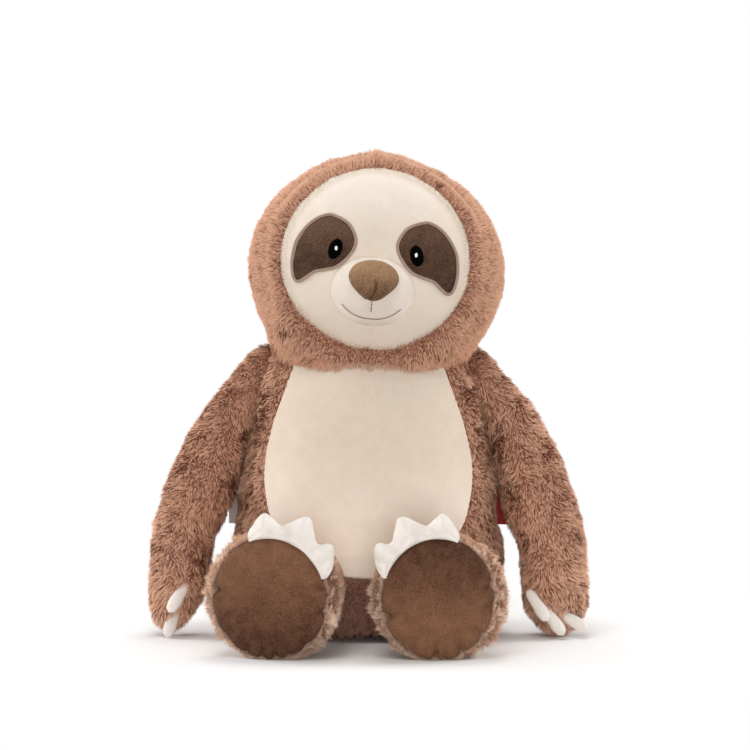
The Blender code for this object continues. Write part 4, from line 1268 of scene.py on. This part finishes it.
def make_mouth():
    across = np.linspace(-1, 1, 60)
    x = FACE_CENTRE[0] + across * SMILE_HALF_WIDTH
    z = SMILE_ENDS - SMILE_DROP * (1 - np.abs(across) ** 2.6)
    smile = moved(HEAD, lifted(muzzle_front, x, z, THREAD_LIFT))
    points = thread_points(smile, SMILE_THREAD, ripple=0.3, stitches=22)
    add_piece("mouth_thread", points, BROWN_THREAD, "head", ("mouth_stitch",))
    z = NOSE_LINE_TOP - NOSE_LINE_LENGTH * np.linspace(0, 1, 20)
    line = moved(HEAD, lifted(muzzle_front, FACE_CENTRE[0] + 0 * z, z, THREAD_LIFT))
    points = thread_points(line, NOSE_THREAD, ripple=0.5, stitches=3)
    add_piece("nose_thread", points, BROWN_THREAD, "head", ("nose_stitch",))


PATCH_SHARES = (
    # the outline from its top: shares of the half width, outwards, and of the half height
    (-0.20, 1.00),
    (-0.70, 0.81),
    (-0.96, 0.46),
    (-0.98, 0.16),
    (-0.78, -0.17),
    (-0.46, -0.45),
    (-0.10, -0.57),
    (0.24, -0.66),
    (0.52, -0.86),
    (0.74, -0.98),
    (0.90, -0.88),
    (0.99, -0.55),
    (0.99, -0.18),
    (0.90, 0.20),
    (0.68, 0.54),
    (0.38, 0.82),
    (0.08, 0.97),
)
PATCH_HALF = np.array((0.0237, 0.02645))
# Middles from the face's middle outwards and from the head's middle up; heights above the cloth below
PATCH_CENTRE, EYE_CENTRE = (0.040, 0.0150), (0.0316, 0.0163)
PATCH_HEIGHT, EYE_HEIGHT = 0.0016, 0.0014
EDGE_THREAD_RADIUS, EDGE_LIFT, EDGE_WIDER = 0.0012, 0.0010, 1.012
EYE_HALF, EYE_LEAN, GLINT_HALF = (0.0052, 0.0082), math.radians(17), (0.00115, 0.0018)
GLINT_SHIFT = {"left": -0.0006, "right": 0.0007}


def make_eye(side, flip):
    centre = (FACE_CENTRE[0] + flip * PATCH_CENTRE[0], PATCH_CENTRE[1])
    reach = outline_reach(PATCH_SHARES, *PATCH_HALF, flip)
    share, points = pad_grid(head_front, centre, reach, 40, 140)
    points[..., 1] -= 0.0014 + 0.0003 * cloudy(points, 0.006, 41) - 0.0016 * ease(0.95, 1.0, share)
    name = f"eye_patch_{side}"
    add_head_pad(name, points, PAD_DEPTH["eye_patch"], DARK, (name,))

    loop = smooth_loop(PATCH_SHARES, 520) * (flip * PATCH_HALF[0], PATCH_HALF[1]) * EDGE_WIDER
    path = lifted(head_front, centre[0] + loop[:, 0], centre[1] + loop[:, 1], EDGE_LIFT)
    points = thread_points(
        moved(HEAD, path),
        EDGE_THREAD_RADIUS,
        closed=True,
        sides=16,
        flat=0.75,
        ripple=0.10,
        stitches=104,
        groove=0.55,
    )
    name = f"eye_edge_{side}"
    add_piece(name, points, EDGE_THREAD, "head", (name,))

    def patch_front(x, z):
        return head_front(x, z) - PATCH_HEIGHT

    def eye_front(x, z):
        return patch_front(x, z) - EYE_HEIGHT

    place = (FACE_CENTRE[0] + flip * EYE_CENTRE[0], EYE_CENTRE[1])
    reach = ellipse_reach(*EYE_HALF, flip * EYE_LEAN)
    _, points = dome_grid(patch_front, place, reach, 0.0016, 30, 72)
    points[..., 1] -= 0.00006 * np.sin(points[..., 0] * math.tau / 0.0006)
    name = f"eye_{side}"
    add_head_pad(name, points, PAD_DEPTH["eye"], BLACK_THREAD, (name,))

    glint = (place[0] + GLINT_SHIFT[side], place[1] + 0.0006)
    _, points = dome_grid(eye_front, glint, ellipse_reach(*GLINT_HALF), 0.0006, 12, 32)
    name = f"eye_glint_{side}"
    add_head_pad(name, points, PAD_DEPTH["glint"], WHITE_THREAD, (name,))


# Arms


def make_arm(side, flip):
    form, body = ARMS[side], f"arm_{side}"
    count, sides = ((170, 100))
    points = form.grid(count, sides)
    normals = tube_normals(points)
    down = within(form.matrix, points)[..., 2]
    outwards = dot(normals, form.matrix[:3, 0])
    relief = lumps(points, 51, large=(0.0010, 0.022), small=(0.0005, 0.007))
    inner = ease(0.2, -0.8, outwards) * ease(0.035, 0.070, down) * ease(0.160, 0.120, down)
    inner = inner * ease(0.132, 0.108, down)
    lift = relief - ARM_DEPTH + 0.0062 * inner
    local = within(form.matrix, points + normals * lift[..., None])
    x = local[..., 0]
    middle = x.mean(1, keepdims=True)
    x -= 0.0030 * ease(0.145, 0.178, down) * ease(-0.004, 0.018, x - middle)
    if side == "right":
        slimmer = 0.0050 * ease(0.088, 0.112, down) * ease(0.170, 0.140, down)
        x += slimmer * ease(0.006, -0.016, x - middle)
    else:
        x -= 0.0105 * ease(0.140, 0.190, down) * ease(0.014, -0.008, x - middle)
    sewn = np.maximum(x - 0.0030 * ease(0.008, 0.0, x), SEAM_GAP)
    x += ease(0.050, 0.040, local[..., 2]) * (sewn - x)
    skin = moved(form.matrix, local)
    nodes = (f"arm_fur_{side}", f"arm_stuffing_{side}")
    add_piece(f"arm_cover_{side}", skin, BROWN_CLOTH, body, nodes)

    end = ease(0.185, 0.210, down)
    # Painted light: the pile is lighter on the arm's outer side; the right arm's is darker than the
    # left's
    tone = (0.02 if side == "left" else -0.10) + 0.11 * ease(-0.6, 0.8, outwards)
    pile = pile_skin(
        skin,
        tube_normals(skin),
        form.matrix[:3, 2],
        growth=ease(0.0005, 0.0025, x + 0.02 * ease(0.040, 0.048, down)),
        length=0.0060 + 0.0010 * end,
        lean=0.74 - 0.15 * end,
        # Painted light: the pile is lighter towards the hand
        tone=tone + 0.38 * ease(0.09, 0.17, down),
    )
    dress(grow_pile(f"arm_pile_{side}", pile, BROWN, seed=60 + flip), body)
    for number, (root, tip) in enumerate(CLAWS[side], 1):
        make_claw(f"hand_claw_{side}_{number}", body, form.matrix, np.array(root), np.array(tip))


# Along a claw as a share of its length, and its radius as a share of its half width
CLAW_ROWS = ((0, 0), (0.02, 0.45), (0.16, 0.80), (0.45, 0.90), (0.70, 0.98), (0.90, 0.72), (1.0, 0.0))


def make_claw(name, body, matrix, root, tip):
    """One stuffed finger with a seam down each side."""
    ends = moved(matrix, np.stack((root, tip)))
    along = unit(ends[1] - ends[0])
    start = ends[1] - along * CLAW_LENGTH
    beside = unit(np.cross(along, (0.0, -1.0, 0.1)))
    ahead = np.cross(beside, along)
    share = np.sin(np.linspace(0, math.pi / 2, 44))
    places = np.interp(share, [row[0] for row in CLAW_ROWS], range(len(CLAW_ROWS)))
    radius = np.maximum(smooth_rows(CLAW_ROWS, places)[:, 1], 0) * CLAW_WIDTH * 0.5
    radius = np.minimum(radius, CLAW_WIDTH / 2 * np.sqrt(np.clip((1 - share) / 0.16, 0, 1)))
    turn = np.arange(40) * math.tau / 40
    seam = 1 - 0.10 * hump(np.sin(turn), 0, 0.16) * (1 - 0.5 * share[:, None])
    across = (radius[:, None] * np.cos(turn) * seam)[..., None] * beside
    forward = (radius[:, None] * np.sin(turn) * 0.92 * seam)[..., None] * ahead
    points = start + share[:, None, None] * CLAW_LENGTH * along + across + forward
    points = points + unit(across + forward + 1e-12) * (0.0002 * cloudy(points, 0.004, 55))[..., None]
    add_piece(name, points, WHITE, body, (name,))


# Legs

CROWN_REACH = 0.0665
CROWN_SHARES = np.array(
    (
        # degrees from the sole's top towards the other foot, and the edge's share of the reach
        (-21.0, 0.70),
        (-19.0, 0.76),
        (-11.0, 0.87),
        (-4.0, 0.955),
        (2.0, 0.90),
        (8.3, 0.835),
        (15.4, 0.90),
        (22.0, 0.99),
        (26.6, 1.00),
        (31.8, 0.91),
        (39.5, 0.82),
        (46.2, 0.905),
        (50.7, 0.91),
        (56.0, 0.855),
        (64.7, 0.75),
        (70.0, 0.66),
    )
)


def make_leg(side, flip):
    form, body = LEGS[side], f"leg_{side}"
    count, sides = ((130, 150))
    local = within(form.matrix, form.grid(count, sides))
    along = local[..., 2] / LEG_LENGTH
    close = ease(0.86, 1.0, along)[..., None]
    reach = np.linalg.norm(local[..., :2] / SOLE_HALF, axis=-1, keepdims=True)
    local[..., :2] += (local[..., :2] / np.maximum(reach, 0.01) - local[..., :2]) * close
    foot = ease(0.80, 0.98, along)
    bent = foot if side == "left" else ease(0.10, 0.75, along)
    slim = 1 - 0.03 * ease(0.3, 0.7, along) * (1 - foot)
    wide = slim + (FOOT_WIDER[side] - 1) * foot
    local[..., 0] = local[..., 0] * wide + FOOT_SHIFT[side] * bent
    points = moved(form.matrix, local)
    normals = tube_normals(points)
    relief = lumps(points, 71, large=(0.0010, 0.022), small=(0.0005, 0.007))
    sink = LEG_DEPTH - 0.0030 * ease(0.85, 1.0, along)
    skin = points + normals * (relief - sink)[..., None]
    skin[..., 2] = np.maximum(skin[..., 2], LOWEST_CLOTH)
    lid = np.repeat(skin[-1].mean(0)[None, None], sides, 1)
    nodes = (f"leg_fur_{side}", f"leg_stuffing_{side}")
    cover = np.concatenate((skin, lid))
    add_piece(f"leg_cover_{side}", cover, BROWN_CLOTH, body, nodes)

    height = skin[..., 2]
    ring = ease(0.66, 0.90, along)
    roll = ease(0.30, 0.75, along)
    edge = ease(0.88, 0.99, along)
    spread = unit(points - points.mean(1, keepdims=True))
    bare = ease(0.94, 1.0, TORSO.spread(points))
    on_floor = 0.5 + 0.5 * ease(0.0, 0.006, height - 0.0012)
    length = (0.0060 + 0.0024 * ring - 0.0020 * edge) * (0.45 + 0.55 * bare)
    pile = pile_skin(
        skin,
        tube_normals(skin),
        form.matrix[:3, 2] + spread * (0.6 * ring - 1.5 * edge)[..., None],
        growth=(0.6 + 0.4 * bare) * on_floor * (1 + 0.6 * ring),
        length=length * (0.3 + 0.7 * ease(0, 0.006, height)),
        lean=0.76 - 0.40 * roll + 0.35 * edge,
        # The pile grows paler towards the foot: partly the ring's own paler pile, partly painted light on
        # the shaded flank of the leg
        tone=0.16 + 0.28 * roll - 0.04 * ring,
        swirl=1.0 + 0.8 * roll,
        gather=0.30 - 0.10 * roll,
        curl=0.30 + 0.26 * roll,
    )
    grown = grow_pile(f"leg_pile_{side}", pile, PEACH, density=1.65e6, seed=80 + flip)
    dress(grown, body)
    make_sole(side, form.matrix, body)
    make_crown(side, form.matrix, body)


def foot_points(side, matrix, x, y, z):
    """Points of the sole's own frame, on the foot."""
    x = x * FOOT_WIDER[side] + FOOT_SHIFT[side]
    return moved(matrix, np.stack((x, y, LEG_LENGTH + SEAM_GAP + z), -1))


def foot_place(side, matrix, points):
    """Points in the sole's own frame, as foot_points takes them."""
    x, y, z = within(matrix, points).T
    return (x - FOOT_SHIFT[side]) / FOOT_WIDER[side], y, z - LEG_LENGTH - SEAM_GAP


PUCKERS = {
    # degrees from the other foot, over the top, how deep and how wide each gather of the seam is
    "left": (
        (342, 1.2, 3.4), (312, 0.5, 3.0), (298, 0.8, 2.6), (272, 1.1, 2.4), (262, 0.5, 2.0),
        (243, 0.9, 3.0), (217, 0.7, 3.4), (188, 0.35, 3.5), (168, 0.9, 3.2), (10, 0.4, 3.5),
    ),
    "right": (
        (14, 0.9, 3.0), (348, 1.0, 3.2), (311, 0.6, 3.4), (290, 0.7, 2.4), (276, 1.0, 2.4),
        (262, 0.8, 2.2), (246, 0.5, 2.6), (220, 0.5, 3.6), (173, 1.1, 3.0), (150, 0.35, 4.0),
    ),
}


SOLE_RISE, CROWN_PUFF = 0.0082, 0.0085
CROWN_PEAKS = np.array((-4, 25, 49))


def make_sole(side, matrix, body):
    rows, sides = 60, 180
    share = np.sin(np.linspace(0, math.pi / 2, rows))[:, None]
    angle = (np.arange(sides) * math.tau / sides)[None]
    turn = np.degrees(angle) % 360
    notch = sum(
        deep * hump((turn - at + 180) % 360 - 180, 0, 1.25 * wide) for at, deep, wide in PUCKERS[side]
    )
    reach = share * (1.016 - 0.075 * notch * ease(0.78, 1.0, share))
    x, y = SOLE_HALF[0] * reach * np.cos(angle), SOLE_HALF[1] * reach * np.sin(angle)
    flat = np.stack((x, y, 0 * x), -1)
    dome = SOLE_RISE * (1 - share**5) ** 0.6
    relief = lumps(flat, 91, large=(0.0008, 0.022), small=(0.0003, 0.006))
    crease = 0.0034 * notch * ease(0.66, 0.98, share)
    z = np.maximum(dome + (relief - crease) * ease(1.0, 0.94, share), 0.0004 * (1 - share))
    front = foot_points(side, matrix, x, y, z)
    back = foot_points(side, matrix, x, y, 0 * z)[::-1]
    mesh = grid_mesh(f"sole_{side}", np.concatenate((front, back)))
    sole = show(f"sole_{side}", mesh, SOLE_FINISHES[side])

    def held(points):
        x, y, z = foot_place(side, matrix, points)
        out = np.hypot(x / SOLE_HALF[0], y / SOLE_HALF[1])
        return np.maximum(ease(0.90, 0.97, out), ease(0.0012, 0.0004, z))

    inflate(sole, fuller=0.05, pressure=3.0, cap=0.0035, held=held)
    dress(sole, body, (f"sole_{side}",))


def make_crown(side, matrix, body):
    """The foot's three claws: one puffed piece round the sole's upper edge."""
    columns, rows = 150, 26
    place = np.linspace(0, len(CROWN_SHARES) - 1, columns)
    degrees, reach = smooth_rows(CROWN_SHARES, place).T
    angle = np.radians(degrees)
    outer = np.stack((reach * CROWN_REACH * np.sin(angle), reach * CROWN_REACH * np.cos(angle)), -1)
    inner_angle = np.radians(np.interp(degrees, (degrees[0], degrees[-1]), (-21, 70)))
    inner = np.stack((SOLE_HALF[0] * np.sin(inner_angle), SOLE_HALF[1] * np.cos(inner_angle)), -1) * 0.985
    across = ((1 - np.cos(np.linspace(0, math.pi, rows))) / 2)[:, None]
    flat = inner[None] + (outer - inner)[None] * across[..., None]
    thick = np.linalg.norm(outer - inner, axis=-1)
    ends = np.sqrt(np.clip(np.minimum(np.arange(columns), np.arange(columns)[::-1]) / 14, 0, 1))
    peak = np.exp(-((degrees[:, None] - CROWN_PEAKS) ** 2 / 40).min(1))
    puff = np.minimum(CROWN_PUFF, 0.50 * thick + 0.0008) * ends * (0.45 + 0.55 * peak)
    round_off = np.sqrt(np.clip(1 - (2 * across - 1) ** 2, 0, 1))
    roll = 0.0016 * hump(across, 0.12, 0.12) - 0.0010 * hump(across, 0.32, 0.10)
    height = puff * round_off**0.8 + roll * ends * round_off
    middle = 0.0030 - 0.0035 * across
    front = foot_points(side, matrix, flat[..., 0], flat[..., 1], middle + height)
    back = foot_points(side, matrix, flat[..., 0], flat[..., 1], middle - puff * round_off * 0.5)
    points = np.concatenate((front, back[::-1]))
    mesh = grid_mesh(f"foot_claws_{side}", points, around=False)
    crown = show(f"foot_claws_{side}", mesh, WHITE)

    def held(points):
        x, y, _ = foot_place(side, matrix, points)
        return ease(1.10, 1.03, np.hypot(x / SOLE_HALF[0], y / SOLE_HALF[1]))

    inflate(crown, fuller=0.03, pressure=3.0, cap=0.0018, held=held)
    dress(crown, body, (f"foot_claws_{side}",))


# Labels

LABEL_LENGTH, LABEL_THICKNESS, LABEL_SEWN_IN = 0.016, 0.0004, 0.0130


def make_label(name, node, material, flip, behind, height, wide):
    """A folded tape that stands out of the side seam, closed all round.

    behind is how far behind the torso's middle it is sewn in, and height where its middle lies.
    """
    count, sewn = 24, TORSO_HALF_WIDTH - LABEL_SEWN_IN
    start = np.array((flip * sewn, TORSO_PLACE[1] + behind, height))
    along = np.linspace(0, 1, count)
    out = np.concatenate((along, along[::-1]))
    lower = np.arange(2 * count) < count
    gap = 0.0007 * np.sqrt(np.clip(1 - out**6, 0, 1)) + 0.0002
    bend = 0.0006 * np.sin(out * 3.0)
    far = flip * LABEL_LENGTH * out
    centre = np.stack((far, bend + np.where(lower, -gap, gap), 0 * out), -1)
    half = np.linspace(-0.5, 0.5, 9)
    layers = []
    for offset in (-LABEL_THICKNESS / 2, LABEL_THICKNESS / 2):
        layer = centre + np.where(lower, -offset, offset)[:, None] * np.array((0, 1, 0))
        layer = layer + (offset * (out > 0.999))[:, None] * np.array((flip, 0, 0))
        layers.append(start + layer[:, None] + half[None, :, None] * wide * UP)
    points = np.concatenate((layers[0], layers[1][:, ::-1]), 1)
    quads = grid_faces(*points.shape[:2])
    mesh = make_mesh(name, points.reshape(-1, 3), quads.ravel(), np.full(len(quads), 4))
    surface = bmesh.new()
    surface.from_mesh(mesh)
    bmesh.ops.holes_fill(surface, edges=[edge for edge in surface.edges if edge.is_boundary])
    bmesh.ops.recalc_face_normals(surface, faces=surface.faces[:])
    surface.to_mesh(mesh)
    surface.free()
    mesh.set_sharp_from_angle(angle=math.radians(40))
    piece = dress(show(name, mesh, material), "torso", (node,))


make_body()
make_belly()
make_head()
make_face()
make_muzzle()
make_nose()
make_mouth()
for side, flip in SIDES:
    make_eye(side, flip)
    make_arm(side, flip)
    make_leg(side, flip)
make_label("care_tape", "care_label", WHITE_TAPE, -1, 0.0255, 0.097, 0.024)
make_label("side_tape", "side_tag", RED_TAPE, 1, 0.010, 0.101, 0.031)

# Room, light and camera

# The floor's radius, and between which distances from the toy it fades into the white
FLOOR_RADIUS, FLOOR_FADE = 1.6, (0.22, 0.48)


def make_room():
    mesh = bpy.data.meshes.new("floor")
    turns = np.arange(96) * math.tau / 96
    ring = [(FLOOR_RADIUS * math.cos(turn), FLOOR_RADIUS * math.sin(turn), 0) for turn in turns]
    mesh.from_pydata(ring, [], [range(96)])
    finish = Finish("Pale floor", roughness=0.9, specular=0.0)
    grain = finish.noise(0.004, 2.0, 0.5)
    finish.colour(finish.mix(grain * 0.04, linear(252, 252, 252), linear(244, 243, 242)))
    far = finish.node("ShaderNodeVectorMath", {"operation": "LENGTH"}, finish.place(), output="Value")
    finish.put(finish.shader.inputs["Alpha"], finish.range(far, *FLOOR_FADE, 1.0, 0.0))
    show("floor", mesh, finish.material)

    world = bpy.data.worlds.new("studio")
    bpy.context.scene.world = world
    world.use_nodes = True
    tree = world.node_tree
    ground = tree.nodes["Background"]
    ground.inputs["Color"].default_value = (1.0, 0.98, 0.96, 1)
    ground.inputs["Strength"].default_value = 0.36
    white = tree.nodes.new("ShaderNodeBackground")
    path = tree.nodes.new("ShaderNodeLightPath")
    either = tree.nodes.new("ShaderNodeMath")
    either.operation = "MAXIMUM"
    both = tree.nodes.new("ShaderNodeMixShader")
    tree.links.new(path.outputs["Is Camera Ray"], either.inputs[0])
    tree.links.new(path.outputs["Is Transmission Ray"], either.inputs[1])
    tree.links.new(either.outputs[0], both.inputs["Fac"])
    tree.links.new(ground.outputs[0], both.inputs[1])
    tree.links.new(white.outputs[0], both.inputs[2])
    white.inputs["Color"].default_value = (1, 1, 1, 1)
    tree.links.new(both.outputs[0], tree.nodes["World Output"].inputs["Surface"])


def make_light(name, place, size, power):
    target = (0, 0, 0.18)
    light = bpy.data.lights.new(name, "AREA")
    light.shape, light.size, light.energy = "DISK", size, power
    lamp = bpy.data.objects.new(name, light)
    bpy.context.scene.collection.objects.link(lamp)
    lamp.location = place
    lamp.rotation_euler = (Vector(target) - Vector(place)).to_track_quat("-Z", "Y").to_euler()


def make_camera():
    target, distance, rise = Vector((0.0052, 0.042, 0.2065)), 2.4, math.radians(3)
    data = bpy.data.cameras.new("camera")
    data.sensor_width, data.lens = 36, 144
    camera = bpy.data.objects.new("camera", data)
    bpy.context.scene.collection.objects.link(camera)
    camera.location = target + distance * Vector((0, -math.cos(rise), math.sin(rise)))
    camera.rotation_euler = (math.pi / 2 - rise, 0, 0)
    bpy.context.scene.camera = camera
    bpy.context.scene.view_settings.view_transform = "Standard"


make_room()
make_light("key", (-0.25, -0.75, 1.30), 0.8, 5)
make_light("left", (-1.20, 0.25, 0.45), 0.7, 10)
make_light("right", (1.15, 0.25, 0.45), 0.7, 8)
make_light("top", (0.05, 0.25, 1.40), 0.7, 6)
make_light("front", (0.10, -2.1, 0.14), 1.1, 18)
make_camera()
